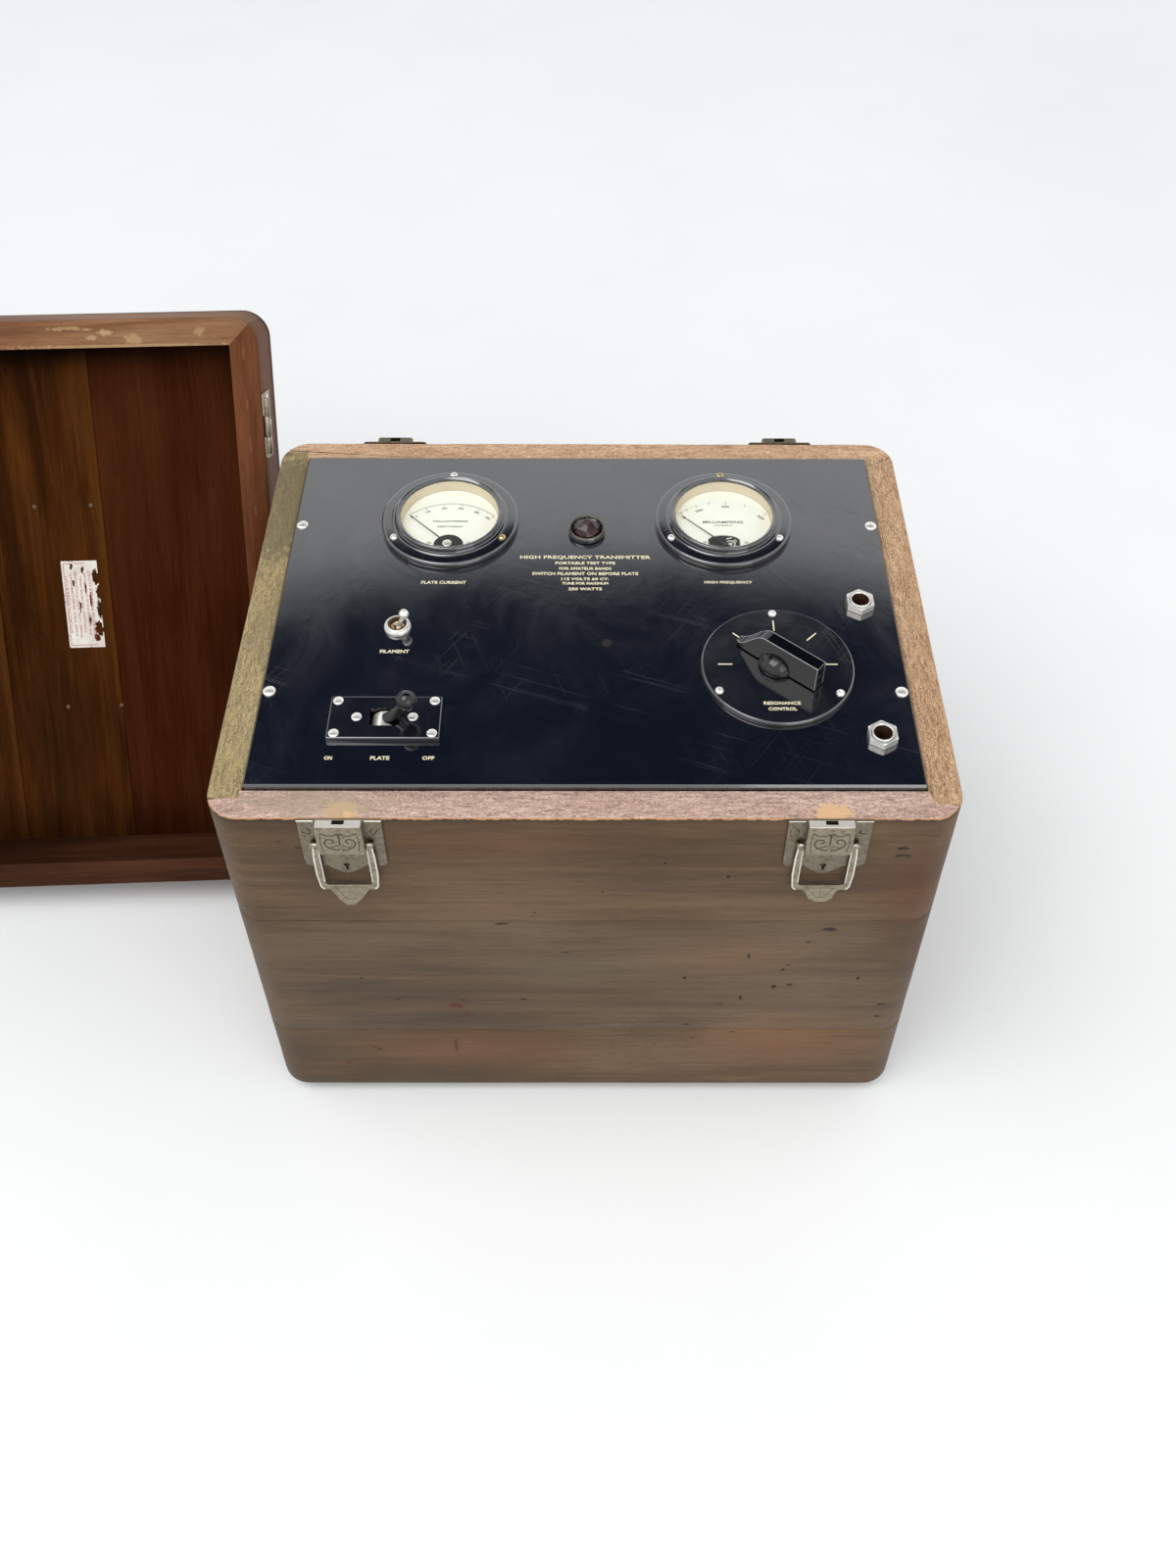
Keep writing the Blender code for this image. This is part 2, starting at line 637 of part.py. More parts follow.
def sockets():
    """Two hinge sockets on the back, which the lid's tongues drop into."""
    face = CASE_DEPTH / 2
    for side, sx in (("left", -1), ("right", 1)):
        place = (sx * HINGE_X, face, RIM)
        width, drop = SOCKET_PLATE
        plate = add("hinge_socket_" + side, box_mesh((width, SHEET, drop), (0, GAP + SHEET / 2, -drop / 2)),
                    "nickel", location=place)
        wide, tall, deep = SOCKET_HOUSING
        join(plate, box_mesh((wide, deep, tall), (0, GAP + SHEET / 2 + deep / 2, -tall / 2)))
        cut(plate, box_mesh((0.0068, 0.0034, 0.030), (0, GAP + SHEET + 0.0020, 0)))


def lid_matrix():
    """Stands the lid on its left end beside the case, hinge side to the right, leaning back."""
    upright = Matrix(((0, 1, 0), (0, 0, 1), (1, 0, 0))).to_4x4()
    turn = Matrix.Rotation(LID_YAW, 4, "Z") @ Matrix.Rotation(-LID_LEAN, 4, "X") @ upright
    sink = LID_ROUNDING * (math.cos(LID_LEAN) + math.sin(LID_LEAN) - 1)
    corner = Vector((LID_CORNER_X, LID_CORNER_Y, -sink)) + FRAME
    local = Vector((-CASE_WIDTH / 2, CASE_DEPTH / 2, LID_DEPTH))
    return Matrix.Translation(corner - turn.to_3x3() @ local) @ turn


def lid():
    """The lid's frame and board, with the parts of the hinges, catches and handle on it."""
    holder = empty("lid_frame_origin", lid_matrix())
    outline = rounded_rectangle(CASE_WIDTH, CASE_DEPTH, CORNER_RADIUS)
    wall = LID_DEPTH - LID_BOARD - GAP
    frame = add("lid_frame", plate_mesh(outline, wall), "lid_wood", holder, (0, 0, wall / 2))
    cut(frame, box_mesh((CASE_WIDTH - 2 * WALL, CASE_DEPTH - 2 * WALL, 2 * wall)))
    top = add("lid_board", plate_mesh(outline, LID_BOARD), "wood", holder, (0, 0, LID_DEPTH - LID_BOARD / 2))
    shape = top.modifiers.new("rounding", "BEVEL")
    shape.width = LID_ROUNDING
    shape.segments = 3
    shape.limit_method = "ANGLE"
    shape.angle_limit = math.radians(60)
    for side, sx in (("left", -1), ("right", 1)):
        hinge(side, (sx * HINGE_X, CASE_DEPTH / 2, 0), holder)
        strike(side, (sx * CATCH_X, -CASE_DEPTH / 2, 0), holder)
    handle(holder)


def hinge(side, place, holder):
    """The lid's half of a take-apart hinge: leaf with two knuckles and pin, and the tongue."""
    length, height = HINGE_LEAF
    axis_y = GAP + KNUCKLE_RADIUS + 0.0001
    leaf = add("lid_hinge_" + side, box_mesh((length, SHEET, height), (0, GAP + SHEET / 2, height / 2)),
               "nickel", holder, place)
    cut(leaf, box_mesh((0.0150, 0.01, 2 * (KNUCKLE_Z + KNUCKLE_RADIUS + 0.0006))))
    for sx in (-1, 1):
        join(leaf, rod_mesh(KNUCKLE_RADIUS, 0.012, (sx * 0.0135, axis_y, KNUCKLE_Z), "X", 16))
    join(leaf, rod_mesh(0.0009, 0.018, (0, axis_y, KNUCKLE_Z), "X", 10))
    pivot = (place[0], place[1] + axis_y, KNUCKLE_Z)
    tongue = add("hinge_tongue_" + side, rod_mesh(KNUCKLE_RADIUS, 0.0140, axis="X", sides=16), "nickel",
                 holder, pivot)
    join(tongue, box_mesh((0.0062, 0.0014, TONGUE_REACH), (0, 0, TONGUE_REACH / 2)))
    cut(tongue, rod_mesh(0.00115, 0.03, axis="X", sides=16))


def strike(side, place, holder):
    """A small hooked plate on the lid's front that a bail would draw down."""
    plate = add("lid_strike_" + side, box_mesh((0.026, SHEET, 0.018), (0, -GAP - SHEET / 2, 0.016)),
                "nickel", holder, place)
    join(plate, box_mesh((0.018, 0.0036, 0.0016), (0, -GAP - SHEET - 0.0016, 0.0240)))
    join(plate, box_mesh((0.018, 0.0012, 0.0050), (0, -GAP - SHEET - 0.0032, 0.0222)))


def handle(holder):
    """The carrying handle on top of the lid, hanging free from its two brackets."""
    face = LID_DEPTH + GAP
    axis_z = face + 0.0070
    for side, sx in (("left", -1), ("right", 1)):
        foot = plate_mesh(rounded_rectangle(0.020, 0.052, 0.008, 4), 0.0016)
        bracket = add("handle_bracket_" + side, foot, "nickel", holder, (sx * HANDLE_X, 0, face + 0.0008))
        join(bracket, box_mesh((0.008, 0.012, 0.0120), (0, 0, 0.0052)))
        cut(bracket, rod_mesh(0.0026, 0.03, (0, 0, 0.0062), "X", 14))
    side_path = [(0.0825, 0), (0.0690, 0), (0.0655, 0.0022), (0.0630, 0.0070), (0.0610, 0.0250)]
    side_path += [(0.0580, 0.0310), (0.0520, HANDLE_HEIGHT)]
    path = [(x, 0, z) for x, z in side_path]
    path += [(-x, 0, z) for x, z in reversed(side_path)]
    bar = add("carry_handle", tube_mesh(path, 0.0022), "leather", holder, (0, 0, axis_z))
    grip = rod_mesh(0.0085, 0.098, (0, 0, HANDLE_HEIGHT), "X", 20)
    join(bar, grip)


def chassis():
    """The works inside: chassis tray, transformer, two valves, tank coil, choke, condenser."""
    floor = FOOT_HEIGHT + FLOOR_BOARD + GAP
    tall = CHASSIS_DECK - floor
    tray = add("chassis", box_mesh((0.345, 0.240, tall)), "steel", location=(0, 0, floor + tall / 2))
    cut(tray, box_mesh((0.341, 0.236, tall), (0, 0, -0.002)))
    top = CHASSIS_DECK + GAP
    core = add("power_transformer", box_mesh((0.100, 0.050, 0.090), (0, 0, 0.045)), "steel",
               location=(-0.100, 0.055, top))
    join(core, box_mesh((0.060, 0.084, 0.056), (0, 0, 0.045)))
    for side, x in (("left", -0.010), ("right", 0.060)):
        valve = [(0, 0.150), (0.0045, 0.150), (0.0045, 0.142), (0.011, 0.139), (0.018, 0.128)]
        valve += [(0.0215, 0.110), (0.0215, 0.072), (0.0185, 0.056), (0.0155, 0.046)]
        valve += [(0.0175, 0.044), (0.0175, 0.012)]
        valve += [(0.024, 0.012), (0.024, 0), (0, 0)]
        turned("oscillator_valve_" + side, valve, "glass", location=(x, 0.060, top), steps=12)
    coil = [(0, 0.110), (0.030, 0.110), (0.030, 0.104)]
    for i in range(6):
        z = 0.097 - 0.016 * i
        coil += [(0.036, z + 0.003), (0.036, z - 0.003), (0.031, z - 0.0045)]
    coil += [(0.030, 0.006), (0.030, 0), (0, 0)]
    turned("tank_coil", coil, "copper", location=(0.125, 0.045, top), steps=16)
    choke = [(0, 0.060), (0.008, 0.060), (0.008, 0.054), (0.014, 0.052), (0.014, 0.036), (0.008, 0.034)]
    choke += [(0.008, 0.028), (0.014, 0.026), (0.014, 0.010), (0.008, 0.008), (0.008, 0), (0, 0)]
    turned("rf_choke", choke, "fibre", location=(-0.030, -0.060, top), steps=12)
    block = box_mesh((0.060, 0.045, 0.070), (0, 0, 0.035))
    add("plate_condenser", block, "fibre", location=(0.030, -0.060, top))


case()
ledge()
panel()
meter("left", -METER_X)
meter("right", METER_X)
pilot()
filament_switch()
plate_switch()
tuner()
jacks()
catches()
sockets()
lid()
chassis()
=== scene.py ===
"""Looks of the portable transmitter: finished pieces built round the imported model.

Pieces of the case are made about the middle of its floor, those on the panel about the
middle of its top face, and those of the lid in the lid's own frame, all in metres.
"""

import json
import math

import bmesh
import bpy
from mathutils import Matrix, Vector, noise


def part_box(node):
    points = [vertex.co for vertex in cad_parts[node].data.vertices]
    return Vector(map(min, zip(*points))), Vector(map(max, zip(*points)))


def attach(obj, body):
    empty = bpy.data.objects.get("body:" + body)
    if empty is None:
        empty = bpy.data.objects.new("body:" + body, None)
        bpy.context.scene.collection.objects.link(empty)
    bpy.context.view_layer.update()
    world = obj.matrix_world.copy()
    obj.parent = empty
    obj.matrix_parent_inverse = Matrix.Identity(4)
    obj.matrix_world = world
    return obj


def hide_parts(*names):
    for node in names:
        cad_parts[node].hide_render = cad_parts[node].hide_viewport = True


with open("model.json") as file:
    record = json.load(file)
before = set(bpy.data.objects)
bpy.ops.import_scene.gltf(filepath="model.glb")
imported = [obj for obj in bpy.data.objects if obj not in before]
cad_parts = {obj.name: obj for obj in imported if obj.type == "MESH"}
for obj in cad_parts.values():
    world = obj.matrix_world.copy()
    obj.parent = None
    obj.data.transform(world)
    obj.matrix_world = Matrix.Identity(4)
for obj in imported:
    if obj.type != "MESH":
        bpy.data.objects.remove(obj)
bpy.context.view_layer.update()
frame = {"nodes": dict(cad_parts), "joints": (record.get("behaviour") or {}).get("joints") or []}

# Frames of reference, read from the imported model
PANEL_LOW, PANEL_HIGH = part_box("control_panel")
PANEL = Vector(((PANEL_LOW.x + PANEL_HIGH.x) / 2, (PANEL_LOW.y + PANEL_HIGH.y) / 2, PANEL_HIGH.z))
FRONT_LOW, FRONT_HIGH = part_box("case_front")
RIGHT_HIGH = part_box("case_right")[1]
BACK_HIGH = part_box("case_back")[1]
RIM = FRONT_HIGH.z
FOOT = FRONT_LOW.z
WIDTH = RIGHT_HIGH.x - FRONT_LOW.x
DEPTH = BACK_HIGH.y - FRONT_LOW.y
CASE = Vector((PANEL.x, PANEL.y, 0))
AT_PANEL = Matrix.Translation(PANEL)
AT_CASE = Matrix.Translation(CASE)
SWING = next(j for j in frame["joints"] if j["name"] == "handle_swing")

WALL = 0.01905
GAP = 0.0003
CORNER = 0.019
LID_DEPTH = 0.055
LID_BOARD = 0.0095
HANDLE_AXIS = 0.007


def lid_frame():
    """The lid's frame: X along its width, Y to its hinge side, Z to its outer face."""
    across = Vector(SWING["axis"]).normalized()
    if across.z < 0:
        across = -across
    back = Vector((across.y, -across.x, 0)).normalized()
    out = across.cross(back)
    place = Matrix((across, back, out)).transposed().to_4x4()
    origin = Vector(SWING["pos_m"]) - out * (LID_DEPTH + GAP + HANDLE_AXIS)
    return Matrix.Translation(origin) @ place


AT_LID = lid_frame()


# ---------------------------------------------------------------- materials


class Look:
    """A node material in the making. Each method adds nodes and gives a socket."""

    def __init__(self, name, metallic=0.0, roughness=0.5, coat=0.0, ior=1.5):
        self.material = bpy.data.materials.new(name)
        self.material.use_nodes = True
        self.tree = self.material.node_tree
        self.shader = self.tree.nodes["Principled BSDF"]
        self.shader.inputs["Metallic"].default_value = metallic
        self.shader.inputs["Roughness"].default_value = roughness
        self.shader.inputs["Coat Weight"].default_value = coat
        self.shader.inputs["Coat Roughness"].default_value = 0.08
        self.shader.inputs["IOR"].default_value = ior
        self.where = self.tree.nodes.new("ShaderNodeTexCoord").outputs["Object"]

    def feed(self, socket, value):
        """Links a node's output to the socket, or sets the socket's value, or leaves it alone."""
        if isinstance(value, bpy.types.NodeSocket):
            self.tree.links.new(value, socket)
        elif value is not None:
            socket.default_value = value

    def add(self, kind, output, inputs, **settings):
        """One output of a new node that has these inputs and settings."""
        node = self.tree.nodes.new("ShaderNode" + kind)
        for key, value in settings.items():
            setattr(node, key, value)
        for key, value in inputs.items():
            self.feed(node.inputs[key], value)
        return node.outputs[output]

    def height(self):
        """The height above the floor of the piece's own coordinates."""
        return self.add("SeparateXYZ", "Z", {"Vector": self.where})

    def mapped(self, scale, shift=(0, 0, 0), turn=0.0):
        """The piece's own coordinates turned about Z, then scaled and shifted."""
        where = self.where
        if turn:
            where = self.add("VectorRotate", "Vector", {"Vector": where, "Angle": turn},
                             rotation_type="Z_AXIS")
        scale = (scale,) * 3 if isinstance(scale, (int, float)) else scale
        return self.add("Mapping", "Vector", {"Vector": where, "Scale": scale, "Location": shift})

    def noise(self, scale, detail=4.0, rough=0.6, warp=0.0, shift=(0, 0, 0), turn=0.0):
        """Noise from 0 to 1; the scale is one number, or one for each axis, after a turn about Z."""
        return self.add("TexNoise", "Fac", {"Vector": self.mapped(scale, shift, turn), "Scale": 1.0,
                                            "Detail": detail, "Roughness": rough, "Distortion": warp})

    def cells(self, scale, shift=(0, 0, 0)):
        """The distance to the nearest of many scattered points."""
        return self.add("TexVoronoi", "Distance", {"Vector": self.mapped(scale, shift), "Scale": 1.0})

    def range(self, value, low, high, start=0.0, end=1.0, smooth=False):
        """The value carried from low..high to start..end."""
        return self.add("MapRange", "Result", {"Value": value, "From Min": low, "From Max": high,
                                               "To Min": start, "To Max": end},
                        interpolation_type="SMOOTHSTEP" if smooth else "LINEAR")

    def calc(self, operation, a, b=None):
        return self.add("Math", "Value", {0: a, 1: b}, operation=operation)

    def mix(self, amount, a, b, blend="MIX"):
        """Two colours mixed; either may be a tuple or a socket."""
        a, b = ((*value, 1) if isinstance(value, tuple) else value for value in (a, b))
        return self.add("Mix", 2, {0: amount, 6: a, 7: b}, data_type="RGBA", blend_type=blend)

    def near(self, point, size, edge=0.35, ragged=0.5, grain=260.0):
        """1 inside a ragged spot at this point, with a size along each axis, and 0 outside it."""
        scale = tuple(1 / s for s in size)
        shift = tuple(-p * s for p, s in zip(point, scale))
        far = self.add("VectorMath", "Value", {0: self.mapped(scale, shift)}, operation="LENGTH")
        uneven = self.range(self.noise(grain, 3), 0.3, 0.7, 1 - ragged, 1 + ragged)
        return self.range(self.calc("MULTIPLY", far, uneven), 1 - edge, 1, 1, 0, True)

    def marked(self, color, spots, **kind):
        """The colour with these spots laid over it, each (place, size, tint, amount)."""
        for point, size, tint, amount in spots:
            color = self.mix(self.calc("MULTIPLY", self.near(point, size, **kind), amount), color, tint)
        return color

    def bump(self, height, distance, strength=1.0, after=None):
        return self.add("Bump", "Normal", {"Distance": distance, "Strength": strength, "Height": height,
                                           "Normal": after})

    def done(self, color=None, roughness=None, normal=None):
        self.feed(self.shader.inputs["Base Color"], color)
        self.feed(self.shader.inputs["Roughness"], roughness)
        self.feed(self.shader.inputs["Normal"], normal)
        return self.material


BOARD_SEAMS = (0.1023, 0.2327)
SEAM_BLUR = 0.0005
SOFT_SPOT = 0.04


def stretched(axis, along, across):
    """A noise scale that is drawn out along one axis."""
    scale = [across] * 3
    scale[axis] = along
    return tuple(scale)


def shade(color, factor):
    """A colour made darker or lighter."""
    return tuple(min(1, c * factor) for c in color)


def wood(name, axis, dark, mid, light, shift=(0, 0, 0), spots=(), sheen=(0.42, 0.62), rim=None, dents=0.85,
         rim_spots=(), ior=1.25, boards=False):
    """Old varnished wood: drawn-out grain, pores, cloudy tone, dark dents, and a worn rim.

    The rim is (plain tone, pale tone, fleck tone, bare edge tone) for the top of the wall.
    """
    look = Look(name, ior=ior)
    cloud = look.noise(stretched(axis, 3, 9), 3, 0.55, 0.3, shift)
    figure = look.noise(stretched(axis, 5, 70), 5, 0.62, 0.8, shift)
    streak = look.noise(stretched(axis, 16, 520), 3, 0.7, 0.2, shift)
    pores = look.noise(stretched(axis, 90, 1600), 2, 0.5, 0.0, shift)
    tone = look.calc("ADD", look.calc("MULTIPLY", cloud, 0.6), look.calc("MULTIPLY", figure, 0.4))
    color = look.mix(look.range(tone, 0.40, 0.52), dark, mid)
    color = look.mix(look.range(tone, 0.50, 0.64), color, light)
    lines = look.range(streak, 0.36, 0.66, 0.84, 1.10)
    color = look.mix(1.0, color, look.mix(lines, (0, 0, 0), (1, 1, 1)), "MULTIPLY")
    deep = look.range(pores, 0.60, 0.72, 0, 0.5, True)
    color = look.mix(deep, color, shade(dark, 0.34))
    hair = look.noise(stretched(axis, 26, 1300), 2, 0.6, 0.5, shift)
    color = look.mix(look.range(hair, 0.60, 0.74, 0, 0.45), color, shade(dark, 0.5))
    color = look.mix(look.range(hair, 0.40, 0.27, 0, 0.30), color, shade(light, 1.5))
    pits = look.range(look.cells(stretched(axis, 50, 120), shift), 0.07, 0.16, 1, 0, True)
    rare = look.range(look.noise(14, 3, shift=(4, 1, 2)), 0.55, 0.62, 0, dents, True)
    pits = look.calc("MULTIPLY", pits, rare)
    color = look.mix(pits, color, shade(dark, 0.22))
    if boards:
        upper, lower = (RIM - drop for drop in BOARD_SEAMS)
        grey = look.calc("MULTIPLY", look.range(look.height(), lower - SEAM_BLUR, lower + SEAM_BLUR),
                         look.range(look.height(), upper + SEAM_BLUR, upper - SEAM_BLUR))
        cast = look.mix(look.calc("MULTIPLY", grey, 0.65), (1, 1, 1), (0.84, 0.91, 1.04))
        color = look.mix(1.0, color, cast, "MULTIPLY")
    for mark in spots:
        wide, deep, tall = mark[1]
        soft = {"edge": 1.0, "ragged": 0.15, "grain": 30.0} if max(wide, tall, deep / 4) > SOFT_SPOT else {}
        color = look.marked(color, [mark], **soft)
    if rim:
        base, pale, fleck, bare = rim
        high = look.height()
        wavy = look.noise(stretched(axis, 90, 900), 5, 0.7, 1.6, shift)
        speck = look.noise(stretched(axis, 900, 1500), 3, 0.7, 0.4)
        area = look.noise(stretched(axis, 12, 60), 5, 0.6, 0.6, shift)
        top = look.mix(look.range(area, 0.34, 0.68), base, pale)
        top = look.mix(look.range(wavy, 0.44, 0.58, 0, 0.80), top, fleck)
        top = look.mix(look.range(speck, 0.50, 0.62, 0, 0.55), top, shade(fleck, 0.7))
        top = look.mix(look.range(speck, 0.46, 0.34, 0, 0.5), top, shade(pale, 1.25))
        dots = look.range(look.cells(stretched(axis, 330, 620), shift), 0.10, 0.20, 0.8, 0, True)
        top = look.mix(dots, top, shade(fleck, 0.4))
        top = look.marked(top, rim_spots)
        soil = look.range(high, RIM - 0.006, RIM - 0.0015, 0, 0.45, True)
        color = look.mix(soil, color, shade(dark, 0.45))
        jitter = look.range(look.noise(180, 4, 0.7), 0.3, 0.7, -0.0009, 0.0006)
        edge = look.calc("ADD", high, jitter)
        color = look.mix(look.range(edge, RIM - 0.0014, RIM - 0.0010, 0, 0.85), color, bare)
        color = look.mix(look.range(high, RIM - 0.0005, RIM - 0.0002, 0, 1.0), color, top)
    rough = look.range(figure, 0.3, 0.7, sheen[0], sheen[1])
    height = look.calc("ADD", look.calc("MULTIPLY", streak, 0.5), look.calc("MULTIPLY", pores, -0.5))
    normal = look.bump(height, 0.00018, 0.7)
    normal = look.bump(look.calc("MULTIPLY", pits, -1), 0.0008, 0.8, normal)
    return look.done(color, rough, normal)


SCRATCHED = 0.22


def black_gloss(name, base=(0.0018, 0.0022, 0.0042), haze=0.5, polish=0.08, ior=1.95, coat=1.0):
    """Moulded black sheet: polished, a little cloudy, with fine scratches and dust."""
    look = Look(name, roughness=polish, coat=coat, ior=ior)
    cloud = look.noise(14, 5, 0.7, 1.0)
    fine = look.noise(900, 2)
    color = look.mix(look.range(cloud, 0.42, 0.72, 0, haze), base, tuple(c * 2.2 + 0.001 for c in base))
    kept = look.range(look.noise(16, 3, shift=(2, 9, 4)), 0.48, 0.62, 0, 1)
    marks = None
    for turn, scale in ((0.35, (9, 1300, 1300)), (2.2, (14, 1500, 1500)), (1.2, (22, 1700, 1700))):
        lines = look.range(look.noise(scale, 0, 0.4, 0.12, turn=turn), 0.745, 0.765, 0, 1)
        marks = lines if marks is None else look.calc("MAXIMUM", marks, lines)
    marks = look.calc("MULTIPLY", marks, kept)
    color = look.mix(look.calc("MULTIPLY", marks, 0.30 * SCRATCHED), color, (0.04, 0.045, 0.06))
    dust = look.range(look.cells(300), 0.035, 0.055, 0.16, 0, True)
    color = look.mix(dust, color, (0.12, 0.12, 0.14))
    rough = look.range(cloud, 0.35, 0.7, polish * 0.8, polish * 2.0)
    rough = look.calc("ADD", rough, look.calc("MULTIPLY", marks, 0.12))
    normal = look.bump(cloud, 0.0006, 0.10)
    height = look.calc("SUBTRACT", look.calc("MULTIPLY", fine, 0.12), look.calc("MULTIPLY", marks, SCRATCHED))
    normal = look.bump(height, 0.00004, 0.4, normal)
    return look.done(color, rough, normal)


def metal(name, color, tarnish, rough=(0.22, 0.42), amount=0.5, size=60.0, metallic=1.0):
    """Plated metal with tarnish in patches, specks, and faint rubbing marks."""
    look = Look(name, metallic=metallic)
    patch = look.noise(size, 6, 0.7, 0.4)
    speck = look.range(look.noise(size * 9, 3, 0.6), 0.62, 0.74, 0, 1, True)
    stain = look.calc("MAXIMUM", look.range(patch, 0.46, 0.70, 0, amount),
                      look.calc("MULTIPLY", speck, amount))
    tint = look.mix(stain, color, tarnish)
    roughness = look.range(patch, 0.3, 0.7, rough[0], rough[1])
    rubbed = look.noise((1400, 300, 1400), 2, 0.5)
    normal = look.bump(rubbed, 0.00004, 0.35)
    normal = look.bump(stain, 0.00008, 0.3, normal)
    return look.done(tint, roughness, normal)


def card(name, base, edge, stain):
    """Printed card gone cream, with faint foxing and paper tooth."""
    look = Look(name, roughness=0.62)
    cloud = look.noise(60, 4, 0.6, 0.5)
    tooth = look.noise(2600, 2)
    fox = look.range(look.cells(240), 0.05, 0.12, 0.25, 0, True)
    color = look.mix(look.range(cloud, 0.35, 0.7), base, edge)
    color = look.mix(fox, color, stain)
    rough = look.range(tooth, 0.3, 0.7, 0.55, 0.7)
    return look.done(color, rough, look.bump(tooth, 0.00004, 0.4))


def plain(name, base, second, rough=(0.4, 0.6), size=300.0, depth=0.00004):
    """A dull or moulded finish with a fine mottle."""
    look = Look(name)
    patch = look.noise(size, 5, 0.65, 0.3)
    color = look.mix(look.range(patch, 0.35, 0.68), base, second)
    return look.done(color, look.range(patch, 0.3, 0.7, *rough), look.bump(patch, depth, 0.6))


def pane(name):
    """Clear glass: a sharp reflection that grows at a glancing angle over a clear pane."""
    material = bpy.data.materials.new(name)
    material.use_nodes = True
    tree = material.node_tree
    tree.nodes.remove(tree.nodes["Principled BSDF"])
    clear = tree.nodes.new("ShaderNodeBsdfTransparent")
    clear.inputs["Color"].default_value = (0.97, 0.98, 0.96, 1)
    mirror = tree.nodes.new("ShaderNodeBsdfGlossy")
    mirror.inputs["Roughness"].default_value = 0.03
    angle = tree.nodes.new("ShaderNodeFresnel")
    angle.inputs["IOR"].default_value = 1.45
    inside = tree.nodes.new("ShaderNodeNewGeometry")
    outward = tree.nodes.new("ShaderNodeMath")
    outward.operation = "SUBTRACT"
    outward.use_clamp = True
    tree.links.new(angle.outputs["Fac"], outward.inputs[0])
    tree.links.new(inside.outputs["Backfacing"], outward.inputs[1])
    join = tree.nodes.new("ShaderNodeMixShader")
    tree.links.new(outward.outputs["Value"], join.inputs["Fac"])
    tree.links.new(clear.outputs["BSDF"], join.inputs[1])
    tree.links.new(mirror.outputs["BSDF"], join.inputs[2])
    tree.links.new(join.outputs["Shader"], tree.nodes["Material Output"].inputs["Surface"])
    return material


def ruby():
    """Deep red moulded glass, nearly black, brighter in its thin parts."""
    look = Look("ruby_glass", roughness=0.03, ior=1.5)
    depth = look.noise(260, 3, 0.6, 1.0)
    color = look.mix(look.range(depth, 0.46, 0.66), (0.003, 0.0003, 0.0006), (0.050, 0.002, 0.006))
    return look.done(color, look.range(depth, 0.3, 0.7, 0.02, 0.05), look.bump(depth, 0.00002, 0.1))


RUST = (0.085, 0.022, 0.009)
ORANGE = (0.22, 0.085, 0.03)
BURNT = (0.010, 0.007, 0.005)
BARE = (0.62, 0.40, 0.20)
FRONT = -0.160


def spot(x, z, wide, tall, tint=BURNT, amount=0.9):
    """A mark on the front of the case."""
    return ((x, FRONT, z), (wide, 0.03, tall), tint, amount)


FRONT_SPOTS = [
    spot(-0.082, 0.116, 0.0050, 0.0040, RUST), spot(-0.077, 0.106, 0.0028, 0.0026, RUST),
    spot(-0.086, 0.063, 0.0016, 0.0100, BURNT, 0.85), spot(0.118, 0.140, 0.0018, 0.0024),
    spot(0.128, 0.142, 0.0022, 0.0016), spot(0.146, 0.206, 0.0060, 0.0022, BURNT, 0.8),
    spot(0.180, 0.283, 0.0055, 0.0014), spot(0.178, 0.290, 0.0040, 0.0022, BURNT, 0.8),
    spot(0.085, 0.118, 0.0050, 0.0020, RUST, 0.6), spot(-0.050, 0.212, 0.0040, 0.0015, BURNT, 0.75),
    spot(0.160, 0.066, 0.0035, 0.0018, RUST, 0.55), spot(0.190, 0.118, 0.0030, 0.0012),
    spot(0.130, 0.070, 0.1000, 0.0450, ORANGE, 0.34), spot(-0.075, 0.060, 0.1100, 0.0400, ORANGE, 0.30),
    spot(0.195, 0.250, 0.0420, 0.0700, RUST, 0.45), spot(-0.060, 0.295, 0.1500, 0.0200, ORANGE, 0.16),
    spot(-0.010, 0.160, 0.0600, 0.0300, (0.10, 0.085, 0.05), 0.35),
    spot(0.090, 0.175, 0.0700, 0.0300, ORANGE, 0.14), spot(0.205, 0.180, 0.0080, 0.0500, RUST, 0.5),
    spot(-0.200, 0.060, 0.0500, 0.0500, BURNT, 0.3), spot(-0.030, 0.224, 0.0008, 0.0012),
    spot(0.010, 0.246, 0.0010, 0.0012), spot(0.082, 0.262, 0.0012, 0.0014),
    spot(0.045, 0.275, 0.0010, 0.0011), spot(-0.012, 0.180, 0.0030, 0.0008),
    spot(0.062, 0.150, 0.0012, 0.0016), spot(0.100, 0.176, 0.0011, 0.0030),
    spot(0.122, 0.160, 0.0012, 0.0016), spot(0.098, 0.126, 0.0013, 0.0030),
    spot(0.135, 0.192, 0.0020, 0.0010), spot(-0.140, 0.150, 0.0012, 0.0012),
    spot(-0.120, 0.124, 0.0016, 0.0012), spot(0.030, 0.040, 0.0020, 0.0012, RUST),
    spot(-0.160, 0.040, 0.0020, 0.0016, RUST), spot(0.170, 0.150, 0.0010, 0.0020),
    spot(-0.150, 0.250, 0.0450, 0.0550, BURNT, 0.20), spot(0.050, 0.212, 0.0900, 0.0200, BURNT, 0.18),
    spot(-0.020, 0.262, 0.1200, 0.0260, BURNT, 0.16), spot(0.05, 0.085, 0.035, 0.020, BURNT, 0.16),
]
SCUFF = (0.34, 0.22, 0.11)
# Painted shadow on the lid's boards: a dark band under the lid's top wall, a patch near its top corner on the
# hinge side, a band along its bottom wall and a patch in its lower middle.
LID_PAINTED_SHADOW = [((0.187, 0, 0.045), (0.022, 0.30, 0.006), (0.0015, 0.0008, 0.0005), 0.95),
             ((0.150, 0.145, 0.045), (0.06, 0.020, 0.006), (0.006, 0.002, 0.001), 0.5),
             ((-0.190, 0, 0.045), (0.045, 0.30, 0.006), (0.004, 0.002, 0.001), 0.45),
             ((-0.10, -0.02, 0.045), (0.11, 0.035, 0.006), (0.006, 0.003, 0.001), 0.55)]
